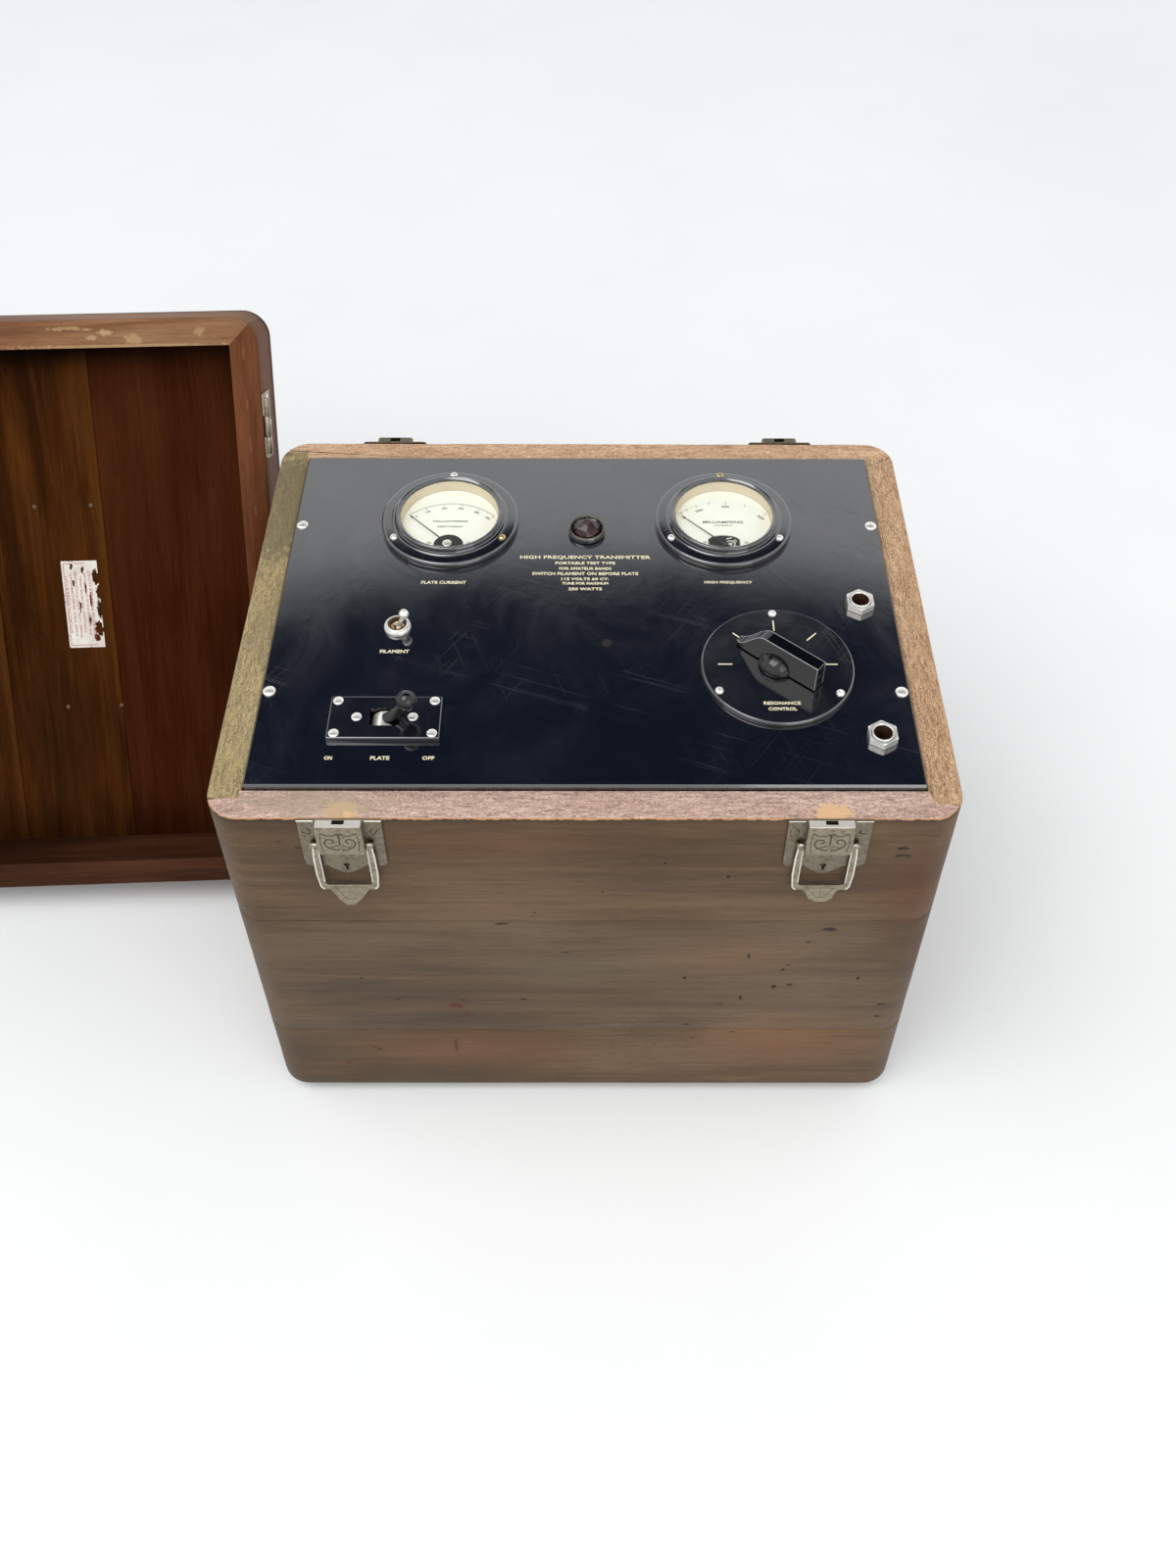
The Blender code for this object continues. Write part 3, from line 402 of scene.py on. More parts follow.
LID_WEAR = [((0.2010, 0.056, 0.0), (0.0022, 0.0055, 0.004), (0.40, 0.28, 0.15), 0.7),
            ((0.1975, 0.047, 0.0), (0.0018, 0.0040, 0.004), (0.40, 0.28, 0.15), 0.6),
            ((0.2030, 0.044, 0.0), (0.0010, 0.0030, 0.004), (0.40, 0.28, 0.15), 0.6),
            ((0.204, 0.030, 0.0), (0.0014, 0.014, 0.004), SCUFF, 0.7),
            ((0.196, 0.075, 0.0), (0.004, 0.006, 0.004), SCUFF, 0.8),
            ((0.1915, 0.060, 0.0), (0.0012, 0.080, 0.004), SCUFF, 0.7),
            ((0.200, 0.120, 0.0), (0.004, 0.004, 0.004), SCUFF, 0.6)]
SIDE_SCUFFS = ((0.185, 0.012), (0.150, 0.008), (0.120, 0.016), (0.075, 0.010), (0.020, 0.018))
LID_RIM = {"dents": 0.4, "ior": 1.15}
# The lid's boards carry the painted shadow.
LID_INSIDE = {"sheen": (0.35, 0.5), "dents": 0.3, "ior": 1.06, "spots": LID_PAINTED_SHADOW}
TONES = {"dark": (0.070, 0.040, 0.019), "mid": (0.114, 0.068, 0.035), "light": (0.156, 0.100, 0.055)}
WARM = {"dark": (0.080, 0.044, 0.024), "mid": (0.125, 0.072, 0.040), "light": (0.170, 0.105, 0.062)}
LOOKS = {
    "front": wood("case_front_wood", 0, **TONES, boards=True, spots=FRONT_SPOTS, rim_spots=[
        ((-0.134, -DEPTH / 2 + 0.004, RIM), (0.013, 0.007, 0.004), BARE, 0.85),
        ((0.136, -DEPTH / 2 + 0.004, RIM), (0.012, 0.007, 0.004), BARE, 0.85),
        ((-0.150, -DEPTH / 2 + 0.010, RIM), (0.045, 0.012, 0.004), (0.30, 0.25, 0.16), 0.5)],
        rim=((0.515, 0.350, 0.283), (0.672, 0.488, 0.405), (0.19, 0.115, 0.090), (0.50, 0.27, 0.14))),
    "back": wood("case_back_wood", 0, **WARM, boards=True, shift=(2, 6, 1),
                 rim=((0.557, 0.348, 0.210), (0.719, 0.487, 0.312), (0.22, 0.115, 0.060),
                      (0.50, 0.30, 0.16))),
    "left": wood("case_left_wood", 1, **TONES, shift=(3, 1, 5), rim_spots=[
        ((-WIDTH / 2 + 0.009, 0.095, RIM), (0.030, 0.060, 0.02), (0.10, 0.085, 0.055), 0.62),
        ((-WIDTH / 2 + 0.012, -0.020, RIM), (0.010, 0.035, 0.02), (0.16, 0.125, 0.070), 0.30)],
                 rim=((0.347, 0.260, 0.117), (0.448, 0.355, 0.183), (0.14, 0.105, 0.060),
                      (0.36, 0.26, 0.15))),
    "right": wood("case_right_wood", 1, **TONES, shift=(7, 3, 2),
                  rim=((0.491, 0.310, 0.176), (0.655, 0.456, 0.284), (0.17, 0.080, 0.035),
                       (0.50, 0.31, 0.17))),
    "lid_top": wood("lid_rim_pale", 1, (0.110, 0.045, 0.020), (0.195, 0.090, 0.042), (0.28, 0.155, 0.085),
                    shift=(5, 2, 8), spots=LID_WEAR, **LID_RIM),
    "lid_side": wood("lid_rim_red", 0, (0.045, 0.012, 0.004), (0.082, 0.023, 0.007), (0.15, 0.055, 0.022),
                     shift=(1, 6, 3), **LID_RIM,
                     spots=[((x, DEPTH / 2 - 0.010, 0.0), (long * 0.5, 0.0008, 0.004), SCUFF, 0.16)
                            for x, long in SIDE_SCUFFS]),
    "lid_low": wood("lid_rim_dark", 1, (0.026, 0.009, 0.004), (0.048, 0.017, 0.007), (0.085, 0.034, 0.015),
                    shift=(3, 4, 3), **LID_RIM),
    "plank": wood("lid_plank_brown", 0, (0.026, 0.0075, 0.0016), (0.062, 0.0195, 0.0035),
                  (0.096, 0.034, 0.007), shift=(2, 2, 2), **LID_INSIDE),
    "plank_red": wood("lid_plank_red", 0, (0.026, 0.0058, 0.0014), (0.042, 0.0100, 0.0026),
                      (0.060, 0.017, 0.005), shift=(6, 4, 2), **LID_INSIDE),
    "plank_deep": wood("lid_plank_deep", 0, (0.020, 0.0058, 0.0014), (0.048, 0.0150, 0.0030),
                       (0.075, 0.026, 0.006), shift=(9, 1, 4), **LID_INSIDE),
    "board": wood("floor_wood", 0, (0.15, 0.085, 0.045), (0.22, 0.13, 0.07), (0.30, 0.19, 0.11),
                  shift=(8, 3, 1)),
    "panel": black_gloss("black_bakelite_panel"),
    "black": black_gloss("black_bakelite_moulded", base=(0.003, 0.003, 0.0042), haze=0.35, polish=0.10),
    "knob": black_gloss("black_bakelite_knob", base=(0.0018, 0.0018, 0.0024), haze=0.3, polish=0.05, ior=1.5,
                        coat=0.25),
    "tip": metal("rusty_screw_tip", (0.14, 0.075, 0.040), (0.060, 0.028, 0.012), (0.5, 0.7), 0.6, size=900,
                 metallic=0.3),
    "nickel": metal("bright_nickel_plate", (0.86, 0.84, 0.79), (0.50, 0.46, 0.38), (0.18, 0.32), 0.16,
                    size=500, metallic=0.72),
    "aged": metal("aged_nickel_plate", (0.215, 0.185, 0.135), (0.085, 0.068, 0.044), (0.32, 0.55), 0.8,
                  size=420),
    "dull": metal("dull_nickel_plate", (0.30, 0.26, 0.19), (0.12, 0.10, 0.065), (0.32, 0.55), 0.8, size=300),
    "stain": metal("stained_nickel_plate", (0.10, 0.085, 0.060), (0.05, 0.04, 0.028), (0.35, 0.55), 0.6,
                   size=600),
    # Painted highlight: a light grey for strips laid along the knob's bevels.
    "painted_highlight": plain("painted_highlight_grey", (0.30, 0.31, 0.33), (0.42, 0.43, 0.45), (0.15, 0.3), 900),
    # Worn bright plating on the catches' edges, partly painted highlight, and painted light on the housings'
    # tops.
    "worn": metal("worn_edge_and_painted_highlight", (0.76, 0.72, 0.65), (0.45, 0.39, 0.30), (0.25, 0.42), 0.35, size=300,
                  metallic=0.6),
    "brass": metal("worn_brass_screw", (0.62, 0.48, 0.26), (0.22, 0.15, 0.07), (0.2, 0.4), 0.5, size=300),
    "dial": card("dial_card_cream", (0.95, 0.94, 0.90), (0.92, 0.90, 0.83), (0.76, 0.68, 0.50)),
    "liner": card("dial_liner_cream", (0.72, 0.62, 0.47), (0.64, 0.53, 0.38), (0.45, 0.34, 0.20)),
    "ink": plain("printing_ink", (0.012, 0.012, 0.014), (0.03, 0.03, 0.034), (0.5, 0.7), 900),
    "red_ink": plain("label_red_ink", (0.32, 0.02, 0.02), (0.45, 0.05, 0.04), (0.5, 0.7), 900),
    "engraving": plain("cream_engraving", (0.72, 0.62, 0.40), (0.88, 0.80, 0.58), (0.5, 0.7), 700),
    "paper": card("label_paper", (0.72, 0.69, 0.63), (0.58, 0.52, 0.45), (0.40, 0.28, 0.18)),
    "glass": pane("meter_glass_clear"),
    "ruby": ruby(),
    "rubber": plain("foot_rubber_black", (0.012, 0.011, 0.011), (0.03, 0.028, 0.026), (0.6, 0.8), 400,
                    0.0001),
    "phenolic": plain("brown_phenolic", (0.035, 0.014, 0.007), (0.075, 0.032, 0.016), (0.35, 0.55), 250),
    "steel": metal("chassis_steel_plate", (0.42, 0.42, 0.43), (0.22, 0.20, 0.18), (0.35, 0.55), 0.5, size=40),
    "vanes": metal("condenser_aluminium_sheet", (0.70, 0.70, 0.71), (0.45, 0.44, 0.42), (0.3, 0.5), 0.4,
                   size=60),
    "copper": metal("coil_copper_wire", (0.72, 0.36, 0.20), (0.30, 0.13, 0.06), (0.25, 0.45), 0.5, size=120),
    "valve": plain("silvered_valve_glass", (0.16, 0.16, 0.17), (0.34, 0.34, 0.35), (0.08, 0.16), 60),
    "leather": plain("handle_leather_brown", (0.045, 0.020, 0.010), (0.10, 0.045, 0.02), (0.45, 0.65), 700,
                     0.0002),
    # Painted shade: a matte near-black for sheets laid where a hollow shows dark.
    "hole": plain("painted_shade_dark_hollow", (0.003, 0.003, 0.003), (0.008, 0.007, 0.006), (0.8, 0.95), 400),
}


# ---------------------------------------------------------------- mesh builders


def linked(name, data):
    """A new object in the scene."""
    item = bpy.data.objects.new(name, data)
    bpy.context.scene.collection.objects.link(item)
    return item


def piece(name, mesh, look, body="case", place=AT_PANEL, stands_for=()):
    """A finished piece, riding on a body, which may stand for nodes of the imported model."""
    item = linked(name, mesh)
    item.matrix_world = place
    mesh.materials.clear()
    mesh.materials.append(LOOKS[look])
    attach(item, body)
    if stands_for:
        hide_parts(*stands_for)


def shaded(mesh, angle=35):
    """Smooth shading over gentle turns; broad many-sided caps stay flat."""
    mesh.shade_smooth()
    mesh.set_sharp_from_angle(angle=math.radians(angle))
    for face in mesh.polygons:
        if len(face.vertices) > 4:
            face.use_smooth = False
    return mesh


def to_mesh(shape, name="shape", angle=35):
    bmesh.ops.recalc_face_normals(shape, faces=shape.faces)
    mesh = bpy.data.meshes.new(name)
    shape.to_mesh(mesh)
    shape.free()
    return shaded(mesh, angle)


def arc(centre, radius, start, end, count):
    """Points on a circular arc, angles in degrees."""
    angles = [math.radians(start + (end - start) * i / count) for i in range(count + 1)]
    return [(centre[0] + radius * math.cos(a), centre[1] + radius * math.sin(a)) for a in angles]


def rounded(width, depth, radius, steps=6):
    """Corner points of a rectangle whose corners are arcs, anticlockwise."""
    points = []
    for sx, sy, start in ((1, 1, 0), (-1, 1, 90), (-1, -1, 180), (1, -1, 270)):
        points += arc((sx * (width / 2 - radius), sy * (depth / 2 - radius)), radius, start, start + 90,
                      steps)
    return points


def spaced(points, step):
    """The same closed outline with more points on its long sides."""
    found = []
    for i, first in enumerate(points):
        second = points[(i + 1) % len(points)]
        parts = max(1, round(math.dist(first, second) / step))
        for k in range(parts):
            t = k / parts
            found.append((first[0] + (second[0] - first[0]) * t, first[1] + (second[1] - first[1]) * t))
    return found


def inset(points, amount):
    """A closed anticlockwise outline moved inward; the amount may be one number or one a point."""
    found = []
    count = len(points)
    for i, point in enumerate(points):
        before, after = Vector(points[i - 1]), Vector(points[(i + 1) % count])
        here = Vector(point)
        one, two = here - before, after - here
        normal_one = Vector((-one.y, one.x)).normalized()
        normal_two = Vector((-two.y, two.x)).normalized()
        middle = (normal_one + normal_two).normalized()
        width = amount[i] if isinstance(amount, (list, tuple)) else amount
        scale = max(0.35, middle.dot(normal_one))
        found.append(tuple(here + middle * width / scale))
    return found


def loft(levels, angle=35):
    """A closed solid through outlines of equal length, each with its height."""
    shape = bmesh.new()
    rings = [[shape.verts.new((x, y, z)) for x, y in outline] for z, outline in levels]
    count = len(rings[0])
    for low, high in zip(rings, rings[1:]):
        for i in range(count):
            k = (i + 1) % count
            shape.faces.new((low[i], low[k], high[k], high[i]))
    shape.faces.new(rings[-1])
    shape.faces.new(list(reversed(rings[0])))
    return to_mesh(shape, angle=angle)


def slab(outline, low, high, edge=0.0006, steps=2, bottom=False):
    """A flat part with its top edge, and its bottom edge if asked, rounded over."""
    levels = []
    if bottom:
        levels += [(low + edge * (1 - math.sin(t)), inset(outline, edge * (1 - math.cos(t))))
                   for t in (math.pi / 2 * i / steps for i in range(steps, 0, -1))]
        levels.append((low + edge, outline))
    else:
        levels.append((low, outline))
    levels.append((high - edge, outline))
    levels += [(high - edge * (1 - math.sin(t)), inset(outline, edge * (1 - math.cos(t))))
               for t in (math.pi / 2 * i / steps for i in range(1, steps + 1))]
    return loft(levels)


def lathe(profile, steps=48, angle=35, close=False):
    """A turned solid. The profile is (radius, height); one that leaves the axis is closed on itself."""
    shape = bmesh.new()
    rings = []
    for radius, height in profile:
        if radius < 1e-7:
            rings.append([shape.verts.new((0, 0, height))])
        else:
            rings.append([shape.verts.new((radius * math.cos(2 * math.pi * i / steps),
                                           radius * math.sin(2 * math.pi * i / steps), height))
                          for i in range(steps)])
    pairs = list(zip(rings, rings[1:]))
    if close:
        pairs.append((rings[-1], rings[0]))
    for one, two in pairs:
        for i in range(steps):
            k = (i + 1) % steps
            corners = [one[i % len(one)], one[k % len(one)], two[k % len(two)], two[i % len(two)]]
            corners = list(dict.fromkeys(corners))
            if len(corners) > 2:
                shape.faces.new(corners)
    return to_mesh(shape, angle=angle)


def cube(size, centre=(0, 0, 0), edge=0.0, segments=2, turn=None):
    """A block with rounded edges."""
    shape = bmesh.new()
    place = Matrix.Translation(centre) @ (turn or Matrix.Identity(4)) @ Matrix.Diagonal((*size, 1))
    bmesh.ops.create_cube(shape, size=1, matrix=place)
    if edge:
        bmesh.ops.bevel(shape, geom=shape.edges[:], offset=edge, segments=segments, profile=0.6,
                        affect="EDGES")
    return to_mesh(shape)


def moved(mesh, matrix):
    mesh.transform(matrix)
    if matrix.is_negative:
        mesh.flip_normals()
    return mesh


def at(x, y, z=0.0):
    return Matrix.Translation((x, y, z))


def turned(degrees, axis):
    return Matrix.Rotation(math.radians(degrees), 4, axis)


def ray(degrees, radius):
    """The point at this angle and distance from the origin."""
    a = math.radians(degrees)
    return Vector((math.cos(a), math.sin(a))) * radius


def rod(radius, low, high, steps=24):
    """A plain round tool for holes, or a pin."""
    return lathe([(0, low), (radius, low), (radius, high), (0, high)], steps)


def joined(meshes):
    """Several closed meshes in one."""
    shape = bmesh.new()
    for mesh in meshes:
        shape.from_mesh(mesh)
        bpy.data.meshes.remove(mesh)
    mesh = bpy.data.meshes.new("joined")
    shape.to_mesh(mesh)
    shape.free()
    return shaded(mesh)


def evaluated(item):
    graph = bpy.context.evaluated_depsgraph_get()
    mesh = bpy.data.meshes.new_from_object(item.evaluated_get(graph))
    bpy.data.objects.remove(item, do_unlink=True)
    return mesh


def carved(mesh, tools, angle=35, operation="DIFFERENCE"):
    """The mesh with closed tool meshes taken out of it, or added to it."""
    work = linked("work", mesh)
    helpers = []
    for tool in tools:
        helper = linked("helper", tool)
        step = work.modifiers.new("step", "BOOLEAN")
        step.object = helper
        step.operation = operation
        step.solver = "EXACT"
        helpers.append(helper)
    found = evaluated(work)
    for helper in helpers:
        bpy.data.objects.remove(helper, do_unlink=True)
    return shaded(found, angle)


def tube(points, radius, sides=12, resolution=6):
    """A round bar on a smooth line through these points, with closed ends."""
    data = bpy.data.curves.new("bar", "CURVE")
    data.dimensions = "3D"
    data.bevel_depth = radius
    data.bevel_resolution = sides // 4
    data.use_fill_caps = True
    data.resolution_u = resolution
    spline = data.splines.new("BEZIER")
    spline.bezier_points.add(len(points) - 1)
    for knot, place in zip(spline.bezier_points, points):
        knot.co = place
        knot.handle_left_type = "AUTO"
        knot.handle_right_type = "AUTO"
    mesh = evaluated(linked("guide", data))
    shape = bmesh.new()
    shape.from_mesh(mesh)
    bmesh.ops.remove_doubles(shape, verts=shape.verts, dist=0.00001)
    return to_mesh(shape)


def lettering(words, cap, width=None, depth=0.00012, heavy=0.0):
    """Flat raised letters centred on the origin, with this cap height and overall width."""
    data = bpy.data.curves.new("words", "FONT")
    data.body = words
    data.align_x = "CENTER"
    data.align_y = "CENTER"
    data.size = cap / 0.7
    data.resolution_u = 2
    data.offset = heavy
    data.extrude = depth / 2
    mesh = evaluated(linked("guide", data))
    shape = bmesh.new()
    shape.from_mesh(mesh)
    bmesh.ops.remove_doubles(shape, verts=shape.verts, dist=0.000005)
    xs = [v.co.x for v in shape.verts]
    ys = [v.co.y for v in shape.verts]
    middle = Vector(((min(xs) + max(xs)) / 2, (min(ys) + max(ys)) / 2, 0))
    stretch = width / (max(xs) - min(xs)) if width else 1.0
    tall = cap / (max(ys) - min(ys)) if width else 1.0
    for v in shape.verts:
        v.co.x = (v.co.x - middle.x) * stretch
        v.co.y = (v.co.y - middle.y) * tall
    return to_mesh(shape, angle=30)


def bar(start, end, width, height, base):
    """A flat printed stroke between two points."""
    a, b = Vector(start), Vector(end)
    along = b - a
    turn = Matrix.Rotation(math.atan2(along.y, along.x), 4, "Z")
    middle = (a + b) / 2
    return cube((along.length, width, height), (middle.x, middle.y, base + height / 2), turn=turn)


def screw(radius, height, dome=0.5, slot=0.0009, deep=0.0009, turn=0.0):
    """A slotted, domed screw head, standing on z = 0."""
    rise = height * dome
    profile = [(0, 0), (radius, 0), (radius, height - rise)]
    count = 7
    for i in range(1, count + 1):
        t = math.pi / 2 * i / count
        profile.append((radius * math.cos(t), height - rise + rise * math.sin(t)))
    profile[-1] = (0, height)
    head = lathe(profile, 28)
    groove = cube((radius * 3, slot, deep * 2), (0, 0, height), turn=Matrix.Rotation(turn, 4, "Z"))
    return carved(head, [groove])


def screws(name, size, points, turns, look="aged", body="case", place=AT_PANEL):
    """A row of screws, each with its own turn; the looks may be one or one each."""
    looks = [look] * len(points) if isinstance(look, str) else look
    for i, (point, turn) in enumerate(zip(points, turns)):
        piece(name + "_" + str(i + 1), screw(*size, turn), looks[i], body, place @ at(*point))


# ---------------------------------------------------------------- case


SEAM = 0.00012
TONGUE = 0.0015
LIPS = (0.0137, 0.0097)


def corner_run(lip):
    """The outer corner from the seam in the side to the straight front, as seen at the right front."""
    angle = math.degrees(math.asin((lip - CORNER) / CORNER))
    centre = (WIDTH / 2 - CORNER, -DEPTH / 2 + CORNER)
    return arc(centre, CORNER, -90, angle, 10), arc(centre, CORNER, angle, 0, 5)


def end_wall():
    """The front wall: it spans the whole width, and its ends are rebated over the side walls."""
    inner = WIDTH / 2 - WALL + TONGUE
    right, _ = corner_run(LIPS[1])
    left, _ = corner_run(LIPS[0])
    points = [(-x, y) for x, y in reversed(left)] + right
    points += [(inner, -DEPTH / 2 + LIPS[1]), (inner, -DEPTH / 2 + WALL), (-inner, -DEPTH / 2 + WALL)]
    return points + [(-inner, -DEPTH / 2 + LIPS[0])]


def side_wall(front_lip, back_lip):
    """The right wall, between the lips of the front and back walls."""
    _, low = corner_run(front_lip + SEAM)
    _, high = corner_run(back_lip + SEAM)
    inner = WIDTH / 2 - WALL
    step = inner + TONGUE + SEAM
    near, far = -DEPTH / 2 + WALL + SEAM, DEPTH / 2 - WALL - SEAM
    points = [(step, -DEPTH / 2 + front_lip + SEAM)] + low + [(x, -y) for x, y in reversed(high)]
    return points + [(step, DEPTH / 2 - back_lip - SEAM), (step, far), (inner, far), (inner, near),
                     (step, near)]


def wall(name, outline, look, seed):
    """Three boards glued edge to edge, with a shallow groove at each joint and worn edges."""
    height = RIM - FOOT
    outline = spaced(outline, 0.005)
    cx, cy = WIDTH / 2 - CORNER, DEPTH / 2 - CORNER
    outer = [abs(math.hypot(max(abs(x) - cx, 0), max(abs(y) - cy, 0)) - CORNER) < 0.00002
             or abs(x) > WIDTH / 2 - 0.00002 or abs(y) > DEPTH / 2 - 0.00002 for x, y in outline]
    ends = 5
    turns = [math.pi / 2 * k / ends for k in range(1, ends + 1)]
    curve = [(1 - math.sin(t), 1 - math.cos(t)) for t in turns]
    rows = [(FOOT + 0.0016 * rise, size, 0) for rise, size in reversed(curve)] + [(FOOT + 0.0016, 0, 0)]
    seams = [RIM - drop for drop in BOARD_SEAMS]
    inside = [FOOT + height * k / 40 for k in range(1, 40)]
    rows += sorted([(z, 0, 0) for z in inside if min(abs(z - s) for s in seams) > 0.002]
                   + [(s + d, 0, 1 if d == 0 else 0) for s in seams for d in (-0.0008, 0, 0.0008)])
    rows += [(RIM - 0.0016, 0, 0)] + [(RIM - 0.0016 * rise, size, 0) for rise, size in curve]
    levels = []
    for z, size, groove in rows:
        amounts = []
        for (x, y), out in zip(outline, outer):
            if not out:
                amounts.append(0.0004 * size if abs(x) < cx or abs(y) < cy else 0.0)
                continue
            worn = noise.noise(Vector((x * 60 + seed, y * 60, z * 50)))
            chip = noise.noise(Vector((x * 260, y * 260 + seed, z * 160)))
            amount = 0.0015 * size * (1 + 0.9 * max(0, worn) + 0.7 * max(0, chip))
            amount += 0.0006 * groove * (0.8 + 0.6 * noise.noise(Vector((x * 40, y * 40, z * 20 + seed))))
            amount += 0.0002 * max(0, noise.noise(Vector((x * 10 + seed, y * 10, z * 60))))
            amounts.append(amount)
        levels.append((z, inset(outline, amounts)))
    piece(name + "_boards", loft(levels, 40), look, place=AT_CASE, stands_for=[name])


def mirrored(outline, x=1, y=1):
    points = [(a * x, b * y) for a, b in outline]
    return points if x * y > 0 else points[::-1]


def case():
    wall("case_front", end_wall(), "front", 1.3)
    wall("case_back", mirrored(end_wall(), -1, -1), "back", 9.7)
    wall("case_right", side_wall(LIPS[1], LIPS[0]), "right", 5.1)
    wall("case_left", mirrored(side_wall(LIPS[0], LIPS[1]), x=-1), "left", 14.2)
    for end in ("front_left", "front_right", "back_left", "back_right"):
        low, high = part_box("foot_" + end)
        radius, tall = (high.x - low.x) / 2, high.z
        profile = [(0, tall), (radius, tall)]
        profile += [(radius - 0.0016 + r, h) for r, h in arc((0, 0.0016), 0.0016, 0, -90, 5)]
        profile += [(radius * 0.45, 0), (radius * 0.35, 0.0022), (0.0022, 0.0022), (0.0022, 0.003),
                    (0, 0.003)]
        middle = (low + high) / 2
        piece("foot_" + end + "_rubber", lathe(profile, 40), "rubber", place=at(middle.x, middle.y),
              stands_for=["foot_" + end])


# ---------------------------------------------------------------- lid


LID_SEAMS = (0.130, 0.212)
LID_ROUND = 0.003
LID_INNER = LID_DEPTH - LID_BOARD
MITRE_GAP = 0.00008
PAPER_CELL = 0.0007
PAPER_LIFT = 0.00012


def lid_edge(point, amount):
    """A point on the lid's outline moved in from the outer faces, but not from a joint."""
    x, y = point
    cx, cy = WIDTH / 2 - CORNER, DEPTH / 2 - CORNER
    dx, dy = max(abs(x) - cx, 0), max(abs(y) - cy, 0)
    far = math.hypot(dx, dy)
    if far < CORNER - 0.00005:
        return point
    return (x - math.copysign(dx / far * amount, x), y - math.copysign(dy / far * amount, y))


def clipped(outline, low, high):
    """The part of a convex outline between two lines across Y."""
    for level, sign in ((low, 1), (high, -1)):
        found = []
        for i, first in enumerate(outline):
            second = outline[(i + 1) % len(outline)]
            a, b = sign * (first[1] - level), sign * (second[1] - level)
            if a >= 0:
                found.append(first)
            if a * b < 0:
                t = a / (a - b)
                found.append((first[0] + (second[0] - first[0]) * t, level))
        outline = found
    return outline


def lid_planks():
    """The lid's top: three boards along its width, the outer edge rounded over."""
    full = rounded(WIDTH, DEPTH, CORNER, 10)
    cuts = [-DEPTH / 2] + [DEPTH / 2 - s for s in reversed(LID_SEAMS)] + [DEPTH / 2]
    low, high = LID_INNER, LID_DEPTH
    for index, (start, end) in enumerate(zip(cuts, cuts[1:])):
        gap = 0.00012
        outline = spaced(clipped(full, start + gap * (index > 0), end - gap * (index < 2)), 0.012)

        def ring(amount, groove):
            points = [lid_edge(p, amount) for p in outline]
            near, far = start + groove * (index > 0), end - groove * (index < 2)
            return [(x, min(max(y, near), far)) for x, y in points]

        levels = [(low, ring(0, 0.0005)), (low + 0.0005, ring(0, gap))]
        levels += [(high - LID_ROUND * (1 - math.sin(t)),
                    ring(LID_ROUND * (1 - math.cos(t)), gap if t < 1.4 else 0.0005))
                   for t in (math.pi / 2 * k / 6 for k in range(7))]
        look = ("plank_deep", "plank", "plank_red")[index]
        piece("lid_plank_" + str(index + 1), loft(levels, 30), look, "lid", AT_LID,
              stands_for=["lid_board"] if index == 0 else ())


def lid_walls():
    """The lid's four sides, mitred at their corners on the rim, with worn edges."""
    inner_x, inner_y = WIDTH / 2 - WALL, DEPTH / 2 - WALL
    high = LID_INNER - 0.0001
    for name, axis, sign in (("top", 1, 1), ("hinge", 0, 1), ("bottom", 1, -1), ("catch", 0, -1)):
        if axis == 1:
            run = arc((WIDTH / 2 - CORNER, DEPTH / 2 - CORNER), CORNER, 45, 0, 6)
            half_side = [(inner_x, inner_y - MITRE_GAP)] + [(x, y - MITRE_GAP) for x, y in run]
            outline = half_side + [(x, -y) for x, y in reversed(half_side)]
            outline = [(sign * x, y) for x, y in outline]
            outline = outline[::-1] if sign > 0 else outline
        else:
            run = arc((WIDTH / 2 - CORNER, DEPTH / 2 - CORNER), CORNER, 45, 90, 6)
            half_side = [(inner_x - MITRE_GAP, inner_y)] + [(x - MITRE_GAP, y) for x, y in run]
            outline = half_side + [(-x, y) for x, y in reversed(half_side)]
            outline = [(x, sign * y) for x, y in outline]
            outline = outline if sign > 0 else outline[::-1]
        outline = spaced(outline, 0.005)
        levels = []
        for k in range(6):
            t = math.pi / 2 * k / 5
            amounts = []
            for x, y in outline:
                point = Vector((x * 70, y * 70, k * 0.4 + sign))
                amounts.append(0.0014 * (1 - math.sin(t)) * (1 + 1.1 * max(0, noise.noise(point))))
            levels.append((0.0014 * (1 - math.cos(t)) if k else 0.0,
                           [lid_edge(p, a) for p, a in zip(outline, amounts)]))
        levels += [(z, outline) for z in (0.012, 0.028, high)]
        look = {"top": "lid_top", "hinge": "lid_side", "bottom": "lid_low", "catch": "lid_side"}[name]
        piece("lid_wall_" + name, loft(levels, 40), look, "lid", AT_LID,
              stands_for=["lid_frame"] if name == "top" else ())


